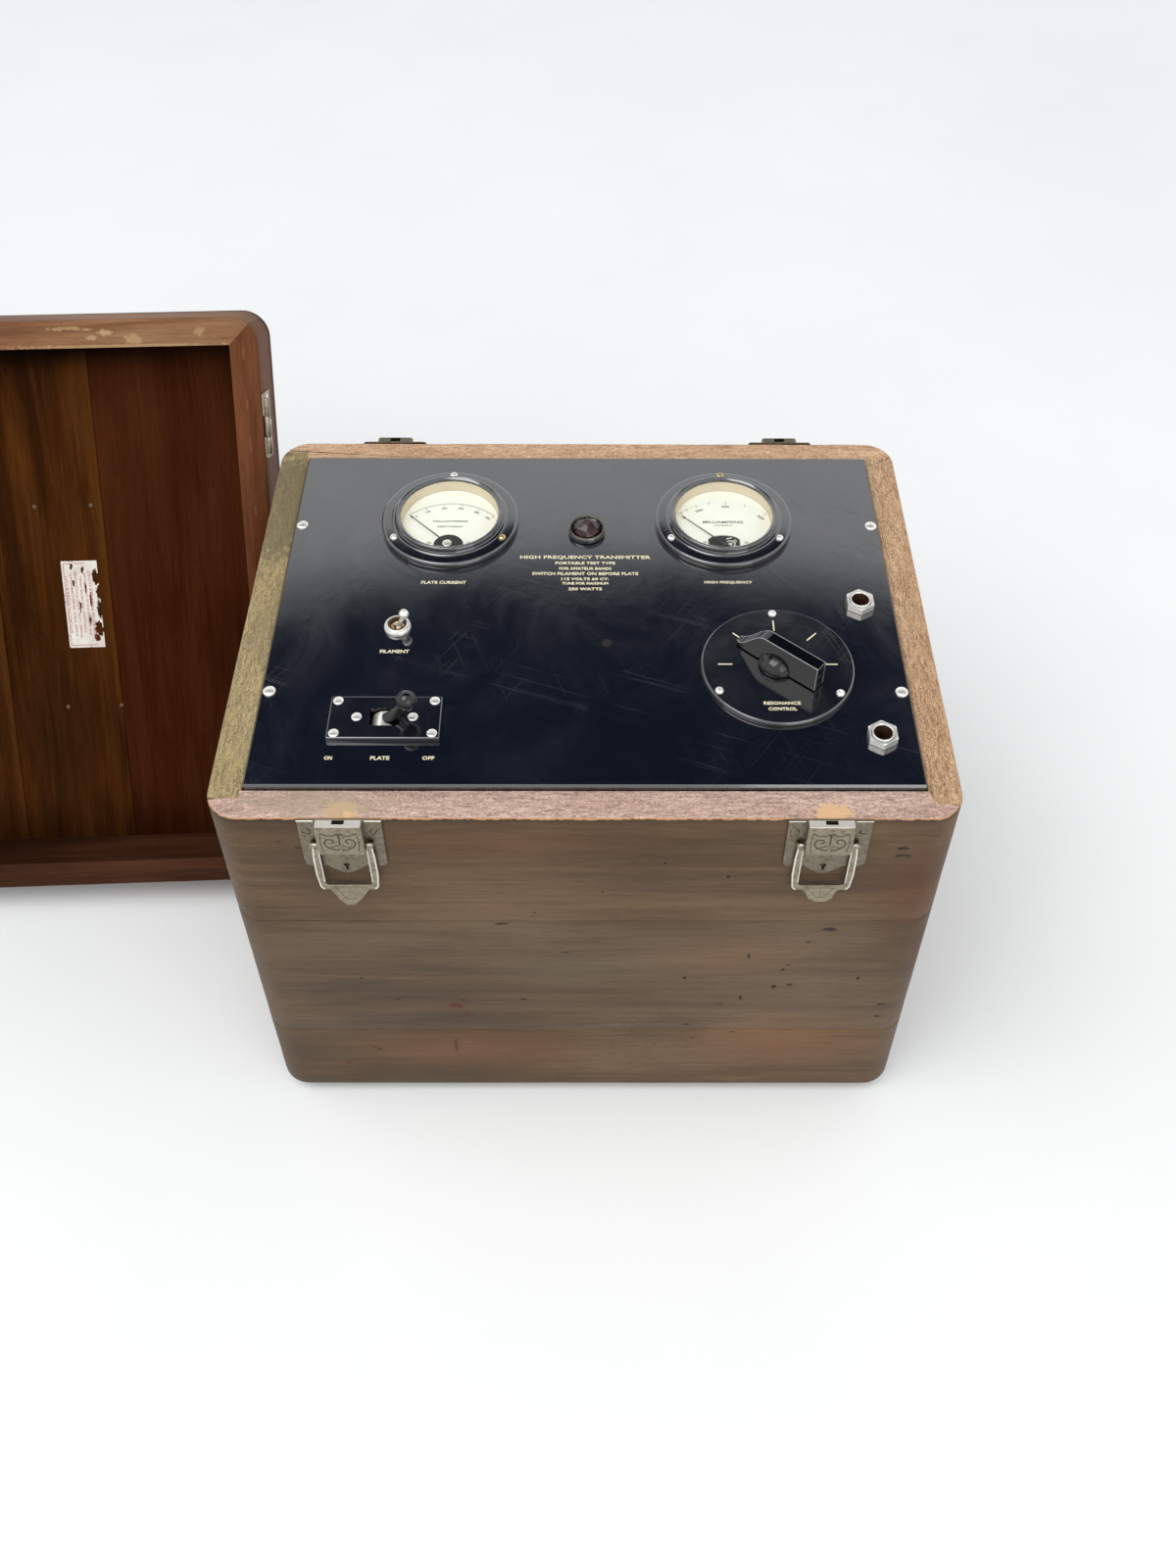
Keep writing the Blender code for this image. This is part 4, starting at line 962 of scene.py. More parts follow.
def torn_paper(tall, wide):
    """A thin sheet with ragged edges and torn patches, (place, half size), built from small cells."""
    tears = [(0.021, 0.011, 0.006, 0.0022), (0.009, 0.0125, 0.005, 0.0020), (-0.004, 0.0118, 0.007, 0.0018),
             (-0.019, 0.0100, 0.006, 0.0032), (-0.026, 0.0080, 0.003, 0.0022),
             (0.029, -0.0060, 0.0022, 0.0012), (0.0265, 0.0020, 0.0030, 0.0010),
             (0.013, 0.0030, 0.0050, 0.0007), (-0.002, -0.0020, 0.0040, 0.0007),
             (0.004, 0.0062, 0.0060, 0.0008), (-0.012, 0.0042, 0.0040, 0.0008),
             (0.017, -0.0052, 0.0030, 0.0006)]
    rows, columns = round(tall / PAPER_CELL), round(wide / PAPER_CELL)
    shape = bmesh.new()
    grid = [[shape.verts.new((-tall / 2 + tall * i / rows, -wide / 2 + wide * k / columns, 0))
             for k in range(columns + 1)] for i in range(rows + 1)]
    for i in range(rows):
        for k in range(columns):
            x, y = (grid[i][k].co + grid[i + 1][k + 1].co).xy / 2
            rag = noise.noise(Vector((x * 900, y * 900, 3.0)))
            near_edge = min(tall / 2 - abs(x), wide / 2 - abs(y))
            inside = all(((x - a) / p) ** 2 + ((y - b) / q) ** 2 > 1 + 0.9 * rag for a, b, p, q in tears)
            if inside and near_edge > 0.0006 * (rag + 0.6 * noise.noise(Vector((x * 200, y * 200, 1.0)))):
                shape.faces.new((grid[i][k], grid[i + 1][k], grid[i + 1][k + 1], grid[i][k + 1]))
    bmesh.ops.delete(shape, geom=[v for v in shape.verts if not v.link_faces], context="VERTS")
    top = bmesh.ops.extrude_face_region(shape, geom=shape.faces[:])["geom"]
    bmesh.ops.translate(shape, verts=[v for v in top if isinstance(v, bmesh.types.BMVert)],
                        vec=(0, 0, 0.0001))
    return to_mesh(shape, "paper")


def label():
    """What is left of a paper label, with rows of red print."""
    place = AT_LID @ at(-WIDTH / 2 + 0.206, DEPTH / 2 - 0.1515, LID_INNER - PAPER_LIFT)
    piece("lid_label_paper", torn_paper(0.067, 0.0262), "paper", "lid", place)
    lines = []
    rows = ("RECORD OF PORTABLE OUTFIT", "ONE CASE AND ONE LID WITH CATCHES", "TWO LEADS ONE METER PANEL",
            "SPARE COIL AND TWO FUSES", "KEEP DRY AND UPRIGHT", "RETURN TO STORE ROOM")
    for i, words in enumerate(rows):
        mesh = lettering(words, 0.0022 if i == 0 else 0.0015, 0.052 - 0.004 * (i % 3), 0.00008)
        mesh.transform(at(0, 0.0068 - 0.0034 * i, -0.00005) @ turned(180, "X"))
        lines.append(mesh)
    corners = [Vector((x, y)) for x, y in ((-0.0315, 0.0080), (-0.0315, -0.0116), (0.0315, -0.0116),
                                           (0.0315, 0.0040))]
    for one, two in zip(corners, corners[1:]):
        lines.append(bar(one, two, 0.0004, 0.00008, -0.00008))
    piece("lid_label_print", joined(lines), "red_ink", "lid", place)


def lid_screw_tips():
    """The tips of the handle's four screws, which come through the lid's top."""
    for i, (u, v) in enumerate(((0.138, 0.281), (0.179, 0.281), (0.131, 0.126), (0.171, 0.126))):
        tip = lathe([(0, 0), (0.0017, 0), (0.0015, 0.0004), (0.0006, 0.0009), (0, 0.0010)], 16)
        place = AT_LID @ at(-WIDTH / 2 + v, DEPTH / 2 - u, LID_INNER) @ turned(180, "X")
        piece("lid_screw_tip_" + str(i + 1), tip, "tip", "lid", place)


def lid():
    lid_planks()
    lid_walls()
    label()
    lid_screw_tips()


# ---------------------------------------------------------------- panel


METER_X, METER_Y = 0.0890, 0.0745
PIVOT_Y = METER_Y - 0.0215
SEAT = -0.0015
INK = 0.00008
PILOT_Y = 0.065
FILAMENT_AT = (-0.1147, -0.0198)
PLATE_AT = (-0.1151, -0.0930)
TUNER_AT = (0.1137, -0.0521)
JACK_X = 0.169
SMALL_SCREW = (0.0007, 0.5, 0.0004, 0.0003)
JACK_ROWS = (("rear", 0.0), ("front", -0.105))


def ring_arc(inner, outer, start, end, low, high):
    """A thin flat arc."""
    outline = arc((0, 0), outer, start, end, 60) + arc((0, 0), inner, end, start, 60)
    return loft([(low, outline), (high, outline)])


def engraved(words, x, y, cap, width, z=0.0):
    """Letters filled with paint, a hair above the surface at this height."""
    mesh = lettering(words, cap, width, 0.00016, heavy=0.00008)
    return moved(mesh, at(x, y, z + 0.00001))


def meter(side, x):
    """A flush meter: moulded flange and bezel, cream liner, printed dial, needle and glass."""
    sign = -1 if side == "left" else 1
    place = AT_PANEL @ at(x, METER_Y)
    profile = [(0, SEAT), (0.0318, SEAT), (0.0318, 0.0080), (0.0320, 0.0086)]
    profile += [(0.0328, 0.0093), (0.0333, 0.0096), (0.0338, 0.0098), (0.0344, 0.0097), (0.0349, 0.0093),
                (0.0352, 0.0087), (0.0353, 0.0079), (0.0354, 0.0066), (0.0358, 0.0061), (0.0366, 0.0059)]
    profile += [(0.0372, 0.0057), (0.0376, 0.0053), (0.0380, 0.0053), (0.0420, 0.0050), (0.0430, 0.0049),
                (0.0438, 0.0045), (0.0443, 0.0038), (0.04445, 0.0030), (0.04445, 0.0012), (0.0443, GAP)]
    profile += [(0.0344, GAP), (0.0344, -0.034), (0.0335, -0.037), (0, -0.037)]
    piece("meter_" + side + "_bezel", lathe(profile, 96, 30), "black", place=place,
          stands_for=["meter_case_" + side])
    liner = [(0.03175, -0.0003), (0.03175, 0.0071), (0.0313, 0.0071), (0.0313, -0.0003)]
    piece("meter_" + side + "_liner", lathe(liner, 96, close=True), "liner", place=place)
    disc = lathe([(0, -0.0012), (0.0313, -0.0012), (0.0313, -0.0005), (0.0312, -0.0004), (0, -0.0004)], 96)
    piece("meter_" + side + "_dial", disc, "dial", place=place, stands_for=["meter_dial_" + side])
    glass = lathe([(0, 0.0073), (0.0316, 0.0073), (0.0316, 0.0082), (0.0312, 0.0085), (0, 0.0086)], 64)
    piece("meter_" + side + "_glass", glass, "glass", place=place, stands_for=["meter_glass_" + side])
    dial_marks(side, sign)
    pointer = [(-0.0062, -0.0006), (-0.002, -0.00045), (0.0345, -0.00022), (0.0352, -0.0006),
               (0.0366, -0.0005), (0.0372, -0.00012), (0.0385, -0.00008), (0.0385, 0.00008),
               (0.0372, 0.00012), (0.0366, 0.0005), (0.0352, 0.0006), (0.0345, 0.00022), (-0.002, 0.00045),
               (-0.0062, 0.0006)]
    needle = joined([loft([(0.00085, pointer), (0.00115, pointer)]),
                     lathe([(0, 0), (0.0021, 0), (0.0022, 0.0002), (0.0022, 0.0017), (0.0018, 0.0021),
                            (0, 0.0021)], 24)])
    piece("meter_" + side + "_needle", needle, "ink", "needle_" + side,
          AT_PANEL @ at(x, PIVOT_Y) @ turned(135, "Z"),
          stands_for=["meter_needle_" + side])
    looks = ("nickel", "nickel", "brass") if side == "left" else ("brass", "nickel", "nickel")
    screws("meter_" + side + "_screw", (0.0025, 0.0018, 0.75, 0.0007, 0.0008),
           [(*ray(angle, 0.0400), 0.0051) for angle in (90, 210, 330)],
           [0.9 + 1.1 * i + sign for i in range(3)], looks, place=place)


def dial_marks(side, sign):
    """Scale, figures and words on a dial, and the works that show below them."""
    base = -0.0004
    marks = []
    middle = Vector((0, METER_Y - PIVOT_Y))

    def tick(angle, inner, outer, width):
        one, two = ray(angle, inner), ray(angle, outer)
        if (two - middle).length < 0.0306:
            marks.append(bar(one, two, width, INK, base))

    def figures(words, angle, radius, cap):
        mesh = lettering(words, cap, None, INK, heavy=0.00003)
        marks.append(moved(mesh, at(*ray(angle, radius), base + INK / 2) @ turned(angle - 90, "Z")))

    if side == "left":
        marks.append(ring_arc(0.03945, 0.03965, 134, 44, base, base + INK))
        for i in range(51):
            angle = 134 - 90 * i / 50
            length = 0.0026 if i % 10 == 0 else 0.0018 if i % 5 == 0 else 0.0009
            tick(angle, 0.0396 - length, 0.0396, 0.00026 if i % 10 == 0 else 0.00014)
        for i in range(6):
            figures(str(100 * i), 134 - 90 * i / 5 + (-4 if i == 0 else 3 if i == 5 else 0), 0.0352, 0.0017)
        words = [("MILLIAMPERES", 0.0225, 0.0015, 0.0225), ("DIRECT CURRENT", 0.0175, 0.0014, 0.0165)]
    else:
        for i in range(5, 41):
            angle = 136.8 - 5.62 * (i / 10) ** 2
            long = i % 5 == 0
            tick(angle, 0.0397 if long else 0.0410, 0.0425 if long else 0.0418, 0.00030 if long else 0.00016)
        for value, reach in ((2, 0.0366), (3, 0.0372), (4, 0.0366)):
            figures(str(1000 * value), 136.8 - 5.62 * value ** 2, reach, 0.0019)
        words = [("MILLIAMPERES", 0.0222, 0.0022, 0.0262), ("RADIO FREQUENCY", 0.0190, 0.0009, 0.0120)]
    for text, y, cap, width in words:
        marks.append(moved(lettering(text, cap, width, INK, heavy=0.00003), at(0, y, base + INK / 2)))
    place = AT_PANEL @ at(sign * METER_X, PIVOT_Y)
    piece("meter_" + side + "_scale", joined(marks), "ink", place=place)
    works(side, place, base)


def works(side, place, base):
    """The dark cover or the window over the movement, a dark sheet laid on the dial as painted shade of the
    hollow behind it, with its bright small parts.
    """
    bright = []
    if side == "left":
        outline = [(-0.0096, -0.0074), (0.0096, -0.0074)] + arc((0, 0), 0.0096, -4, 184, 24)
        cover = slab(outline, base, base + 0.0004, 0.00015)
        bright.append(moved(screw(0.0030, 0.0010, 0.5, 0.0007, 0.0006, 0.2), at(-0.0006, -0.0012, 0.0024)))
        bright.append(moved(lathe([(0, 0), (0.0012, 0), (0.0012, 0.0003), (0, 0.0003)], 12),
                            at(-0.0006, -0.0012, 0.0021)))
        for x in (-0.0126, 0.0128):
            bright.append(moved(screw(0.0016, *SMALL_SCREW, 0.6), at(x, 0.0018, base)))
    else:
        window = [(-0.0105, -0.0070), (0.0095, -0.0070), (0.0095, 0.0050)]
        for a in (math.pi * k / 12 for k in range(1, 12)):
            window.append((0.0095 * math.cos(a) - 0.0005, 0.0050 + 0.0038 * math.sin(a)))
        window.append((-0.0105, 0.0050))
        cover = slab(window, base, base + 0.0003, 0.0001)
        rim = carved(loft([(base, inset(window, -0.0005)), (base + 0.0007, inset(window, -0.0005))]),
                     [loft([(base - 0.001, window), (base + 0.002, window)])])
        bright.append(rim)
        for x, y, r, h in ((0.0035, 0.001, 0.0034, 0.0006), (0.0075, -0.0025, 0.0018, 0.0007),
                           (-0.0015, -0.0045, 0.0016, 0.0006), (0.0065, 0.0038, 0.0014, 0.0005),
                           (-0.0062, -0.0035, 0.0024, 0.0006)):
            ring = [(r, base + 0.0003), (r, base + h), (r * 0.72, base + h), (r * 0.72, base + 0.0003)]
            bright.append(moved(lathe(ring, 28, close=True), at(x, y)))
            hub = [(0, base + 0.0003), (r * 0.42, base + 0.0003), (r * 0.42, base + h * 0.9), (0, base + h)]
            bright.append(moved(lathe(hub, 20), at(x, y)))
        bright.append(cube((0.0040, 0.0011, 0.0004), (0.0030, 0.0062, base + 0.0005),
                           turn=Matrix.Rotation(0.3, 4, "Z")))
        bright.append(cube((0.0011, 0.0052, 0.0004), (0.0001, 0.0004, base + 0.0005),
                           turn=Matrix.Rotation(0.2, 4, "Z")))
        for x in (-0.0128, 0.0140):
            bright.append(moved(screw(0.0015, *SMALL_SCREW, 1.2), at(x, 0.0026, base)))
    # Painted shade: the dark sheet on the dial.
    piece("meter_" + side + "_works_painted_shade", cover, "hole", place=place)
    piece("meter_" + side + "_works_parts", joined(bright), "nickel", place=place)


def pilot():
    """A cut ruby glass jewel in a deep black collar with a bright lip."""
    place = AT_PANEL @ at(0, PILOT_Y)
    collar = [(0.0113, GAP), (0.0118, 0.0008), (0.0118, 0.0030), (0.0114, 0.0041), (0.0110, 0.0044),
              (0.0106, 0.0043), (0.0104, 0.0036), (0.0092, 0.0026), (0.0092, 0.0012), (0.0055, 0.0012),
              (0.0055, -0.0140), (0.0068, -0.0140), (0.0068, GAP)]
    piece("pilot_collar", lathe(collar, 64, close=True), "black", place=place, stands_for=["pilot_bezel"])
    lip = [(0.0103, 0.0042), (0.0106, 0.00455), (0.0110, 0.00455), (0.0112, 0.0042)]
    piece("pilot_lip", lathe(lip, 64, close=True), "aged", place=place)
    shape = bmesh.new()
    for radius, height, count, turn in ((0.0091, 0.0014, 12, 0), (0.0091, 0.0032, 12, 0),
                                        (0.0070, 0.0064, 6, 0.5), (0.0034, 0.0090, 4, 0.1)):
        for i in range(count):
            shape.verts.new((*ray(360 * (i + turn) / count, radius), height))
    bmesh.ops.convex_hull(shape, input=shape.verts)
    mesh = to_mesh(shape, "jewel", 1)
    for face in mesh.polygons:
        face.use_smooth = False
    piece("pilot_jewel_cut", mesh, "ruby", place=place, stands_for=["pilot_jewel"])


def filament_switch():
    """Ring nut, dished bushing and ball-ended toggle."""
    place = AT_PANEL @ at(*FILAMENT_AT)
    ring = [(0.0062, GAP), (0.00815, GAP), (0.00815, 0.0014), (0.0079, 0.0024), (0.0074, 0.0030),
            (0.0070, 0.0031), (0.0068, 0.0027), (0.0065, 0.0027), (0.0064, 0.0035), (0.0061, 0.0037),
            (0.0055, 0.0036), (0.0050, 0.0031), (0.0046, 0.0016), (0.0062, 0.0010)]
    piece("filament_ring_nut", lathe(ring, 64, close=True), "nickel", place=place,
          stands_for=["filament_switch_nut"])
    cup = [(0.0045, 0.0014), (0.0030, 0.0004), (0.0021, 0.0002), (0.0021, -0.0004), (0.0047, 0.0002)]
    piece("filament_bushing_cup", lathe(cup, 48, close=True), "brass", place=place)
    ball = arc((0, 0.0138), 0.0031, -62, 88, 14)
    stalk = [(0, -0.0022), (0.0010, -0.0020), (0.0015, -0.0010), (0.0018, 0.0020), (0.0017, 0.0050),
             (0.00135, 0.0085), (0.00135, 0.0104)] + ball + [(0, 0.0169)]
    lever = AT_PANEL @ at(*FILAMENT_AT, -0.001) @ turned(20, "Y")
    piece("filament_toggle_lever", lathe(stalk, 32), "nickel", "filament_lever", lever,
          stands_for=["filament_lever"])


def plate_switch():
    """Tumbler switch: bevelled cover, six screws, nickel drum guard, black stalk and ball."""
    place = AT_PANEL @ at(*PLATE_AT)
    cover = slab(rounded(0.0645, 0.031, 0.0008, 3), GAP, GAP + 0.0032, 0.0007, 3)
    slot = loft([(-0.01, rounded(0.0174, 0.0125, 0.0022, 6)), (0.01, rounded(0.0174, 0.0125, 0.0022, 6))])
    piece("plate_switch_cover", carved(cover, [slot]), "black", place=place,
          stands_for=["plate_switch_plate"])
    spots = ((-0.0279, -0.012), (0.0279, -0.012), (-0.0279, 0.012), (0.0279, 0.012), (-0.0161, 0),
             (0.0161, 0))
    screws("plate_switch_screw", (0.0030, 0.0010, 0.6, 0.0006, 0.0006),
           [(*spot, GAP + 0.0031) for spot in spots], (0.05, -0.08, 0.02, 0.1, 0.25, -0.3), "nickel",
           place=place)
    pivot = AT_PANEL @ at(*PLATE_AT, -0.006) @ turned(29.5, "Y")
    drum = moved(lathe([(0, -0.0054), (0.0083, -0.0054), (0.0086, -0.0051), (0.0086, 0.0051),
                        (0.0083, 0.0054), (0, 0.0054)],
                       56), turned(-90, "X"))
    groove = cube((0.0012, 0.02, 0.0016), (-0.0052, 0, 0.0072), turn=Matrix.Rotation(-0.6, 4, "Y"))
    piece("plate_switch_drum", carved(drum, [groove]), "nickel", "plate_lever", pivot,
          stands_for=["plate_lever"])
    sizes = ((0.0080, 0.0062, 0.0046), (0.0100, 0.0056, 0.0040), (0.0130, 0.0042, 0.0032),
             (0.0170, 0.0030, 0.0027), (0.0225, 0.0024, 0.0024), (0.0250, 0.0026, 0.0026))
    circle = [2 * math.pi * k / 28 for k in range(28)]
    fan = [(z, [(wide * math.cos(a), thick * math.sin(a)) for a in circle]) for z, wide, thick in sizes]
    ball = [(0, 0.0276 - 0.0059)] + arc((0, 0.0276), 0.0059, -84, 84, 22) + [(0, 0.0276 + 0.0059)]
    stalk = joined([loft(fan, 40), lathe(ball, 40)])
    piece("plate_switch_stalk", stalk, "knob", "plate_lever", pivot)


def tuner():
    """Marked disc, and the bar knob on its skirt with painted highlights along the knob's edges."""
    place = AT_PANEL @ at(*TUNER_AT)
    disc = [(0.0045, GAP), (0.0453, GAP), (0.0454, 0.0006), (0.0454, 0.0022), (0.0450, 0.0029),
            (0.0444, 0.0033), (0.0045, 0.0033)]
    piece("resonance_disc", lathe(disc, 128, 30, close=True), "black", place=place,
          stands_for=["resonance_plate"])
    screws("resonance_screw", (0.0026, 0.0019, 0.85, 0.0006, 0.0004),
           [(*ray(angle, 0.0413), 0.0032) for angle in (90, 210, 327)], [0.4, 1.4, 2.4], "nickel",
           place=place)
    marks = [bar(ray(angle, 0.0270), ray(angle, 0.0355), 0.0008, 0.00012, 0.0033)
             for angle in (0, 45, 90, 135, 180)]
    marks.append(engraved("RESONANCE", 0, -0.0301, 0.0024, 0.0215, 0.0034))
    marks.append(engraved("CONTROL", 0, -0.0344, 0.0024, 0.0165, 0.0034))
    piece("resonance_marks", joined(marks), "engraving", place=place)
    knob()


def knob():
    """A pointer bar that slopes down to its tip, on a round skirt, with painted highlights along its edges.
    """
    reach, tall, half = 0.0287, 0.019, 0.0041
    stations = []
    for i in range(27):
        t = i / 26
        s = -reach + 2 * reach * t
        over = max(0.0, (s - 0.0085) / (reach - 0.0085))
        drop = over * over * (3 - 2 * over) if over < 1 else 1.0
        top = tall - (tall - 0.0030) * min(1.0, drop * 1.02)
        wide = half * (1.0 - 0.10 * over) if over < 0.8 else half * (0.92 - 1.9 * (over - 0.8))
        stations.append((s, max(wide, half * 0.22), max(top, 0.0022)))
    shape = bmesh.new()
    rings = []
    bevel = 0.0006
    for s, wide, top in stations:
        section = [(-wide * 1.06, 0.0008), (wide * 1.06, 0.0008), (wide, top - bevel), (wide - bevel, top),
                   (-wide + bevel, top), (-wide, top - bevel)]
        rings.append([shape.verts.new((s, a, b)) for a, b in section])
    for one, two in zip(rings, rings[1:]):
        for i in range(6):
            k = (i + 1) % 6
            shape.faces.new((one[i], one[k], two[k], two[i]))
    shape.faces.new(list(reversed(rings[0])))
    shape.faces.new(rings[-1])
    body = to_mesh(shape, "knob", 30)
    skirt = lathe([(0, 0.0003), (0.0115, 0.0003), (0.0117, 0.0010), (0.0115, 0.0022), (0.0107, 0.0042),
                   (0.0094, 0.0062), (0.0074, 0.0079), (0.0048, 0.0090), (0, 0.0094)], 64)
    whole = carved(body, [skirt], 30, "UNION")
    holes = [moved(rod(0.0017, -0.004, 0.004), at(-reach, 0, z) @ turned(90, "Y")) for z in (0.0135, 0.0060)]
    whole = carved(whole, holes, 30)
    place = AT_PANEL @ at(*TUNER_AT, 0.0036) @ turned(140, "Z")
    piece("resonance_bar_knob", whole, "knob", "tuner", place, stands_for=["resonance_knob"])
    # Painted highlights: thin grey strips along the bar's top bevels, across its tail and down its tail
    # corners.
    lines = []
    for sign in (-1, 1):
        path = [(st[0], sign * (st[1] - bevel * 0.45), st[2] - bevel * 0.40) for st in stations]
        lines.append(tube(path, 0.00022, 6, 1))
    start, wide, top = stations[0]
    start += 0.0001
    lines.append(tube([(start, -wide, top - bevel * 0.5), (start, wide, top - bevel * 0.5)], 0.00022, 6, 1))
    for sign in (1, -1):
        lines.append(tube([(start, sign * wide, top - bevel), (start, sign * wide * 1.05, 0.0012)], 0.00018,
                          6, 1))
    piece("resonance_knob_painted_highlights", joined(lines), "painted_highlight", "tuner", place)


def jacks():
    """Chamfered hexagon nuts on deep bushings lined with brown phenolic."""
    for name, y in JACK_ROWS:
        place = AT_PANEL @ at(JACK_X, y)
        corner = 0.016 / math.sqrt(3)
        angles = (math.pi / 6 + math.pi / 3 * k for k in range(6))
        hexagon = [(corner * math.cos(a), corner * math.sin(a)) for a in angles]
        block = loft([(GAP, spaced(hexagon, 0.0012)), (0.0048, spaced(hexagon, 0.0012))], 30)
        cone = lathe([(0, -0.001), (0.0200, -0.001), (0.0200, 0.0005), (0.00825, 0.0048), (0.0078, 0.00482),
                      (0, 0.00482)], 64)
        work = carved(block, [cone], 30, "INTERSECT")
        bore = lathe([(0, -0.01), (0.0066, -0.01), (0.0066, 0.0040), (0.0072, 0.0050), (0.0072, 0.01),
                      (0, 0.01)], 48)
        piece("output_nut_" + name, carved(work, [bore], 30), "nickel", place=place,
              stands_for=["jack_nut_" + name])
        tubeform = [(0.00535, 0.0050), (0.0057, 0.0054), (0.0061, 0.0054), (0.0064, 0.0050),
                    (0.0064, -0.0066), (0.009, -0.0066), (0.009, -0.032), (0, -0.032), (0, -0.029),
                    (0.00535, -0.029)]
        piece("output_bushing_" + name, lathe(tubeform, 48, 30), "nickel", place=place,
              stands_for=["output_jack_" + name])
        lining = [(0.00530, 0.0042), (0.00530, -0.0288), (0, -0.0288), (0, -0.0284), (0.0049, -0.0284),
                  (0.0049, 0.0036)]
        piece("output_lining_" + name, lathe(lining, 40), "phenolic", place=place)


def panel():
    """Screws and engraved words on the panel."""
    screws("panel_screw", (0.00375, 0.0016, 0.65, 0.0009, 0.0010),
           ((-0.185, -0.071), (0.185, -0.071), (-0.185, 0.071), (0.185, 0.071)), (0.15, -0.05, 0.6, -0.7),
           "nickel")
    words = [("PLATE CURRENT", -0.0895, 0.0189, 0.0026, 0.028),
             ("HIGH FREQUENCY", 0.089, 0.0193, 0.0026, 0.030), ("FILAMENT", -0.1148, -0.0394, 0.0026, 0.0175),
             ("ON", -0.1446, -0.120, 0.0026, 0.0045), ("PLATE", -0.1155, -0.120, 0.0026, 0.0108),
             ("OFF", -0.0883, -0.120, 0.0026, 0.0068), ("HIGH FREQUENCY TRANSMITTER", -0.0008, 0.0415, 0.0035,
                                                        0.083),
             ("PORTABLE TEST TYPE", -0.0008, 0.0364, 0.0024, 0.038),
             ("FOR AMATEUR BANDS", -0.0008, 0.0315, 0.0024, 0.033),
             ("SWITCH FILAMENT ON BEFORE PLATE", -0.0008, 0.0269, 0.0026, 0.067),
             ("115 VOLTS 60 CY.", -0.0008, 0.0222, 0.0023, 0.030),
             ("TUNE FOR MAXIMUM", -0.0008, 0.0183, 0.0022, 0.029),
             ("250 WATTS", -0.0008, 0.0134, 0.0024, 0.021)]
    meshes = [engraved(text, x, y, cap, width) for text, x, y, cap, width in words]
    piece("panel_engraving", joined(meshes), "engraving", place=AT_PANEL)
    # Painted shade: a thin dark disc on the panel stands for the hole there.
    plug = lathe([(0, 0), (0.0031, 0), (0.0031, 0.00006), (0, 0.00008)], 32)
    piece("panel_hole_painted_shade", plug, "hole", place=AT_PANEL @ at(0.0124, -0.0322))
    meter("left", -METER_X)
    meter("right", METER_X)
    pilot()
    filament_switch()
    plate_switch()
    tuner()
    jacks()


# ---------------------------------------------------------------- hardware


UPRIGHT = Matrix(((1, 0, 0), (0, 0, -1), (0, 1, 0))).to_4x4()
SHEET = 0.0012
SCREW_SEAT = GAP + SHEET - 0.0002
CATCH_X = 0.1345
HINGE_X = 0.1335
HANDLE_X = 0.0775
HANDLE_HEIGHT = 0.034


def scroll(points, radius, base, flat=0.5):
    """A raised line of ornament on a flat face."""
    mesh = tube([(x, y, 0) for x, y in points], radius, 8, 3)
    mesh.transform(Matrix.Diagonal((1, 1, flat, 1)))
    return moved(mesh, at(0, 0, base))


def ornament(base):
    """A plain leaf-and-scroll ornament."""
    lines = []
    for sign in (-1, 1):
        curl = [(0.0008, -0.0078), (0.0040, -0.0070), (0.0078, -0.0040), (0.0080, 0.0005), (0.0050, 0.0022),
                (0.0034, 0.0000), (0.0050, -0.0014)]
        leaf = [(0.0008, 0.0072), (0.0030, 0.0058), (0.0064, 0.0056), (0.0092, 0.0074)]
        vein = [(0.0010, -0.0030), (0.0026, -0.0042), (0.0052, -0.0048)]
        edge = [(0.0098, -0.0092), (0.0104, -0.0040), (0.0104, 0.0030), (0.0096, 0.0082)]
        for line, size in ((curl, 0.00050), (leaf, 0.00045), (vein, 0.00035), (edge, 0.00028)):
            lines.append(scroll([(sign * x, y) for x, y in line], size, base))
    lines.append(scroll([(0, 0.0046), (0, 0.0010), (0, -0.0030)], 0.0005, base))
    lines.append(moved(lathe([(0, 0), (0.0011, 0), (0.0008, 0.0003), (0, 0.0004)], 14), at(0, 0.0060, base)))
    return lines


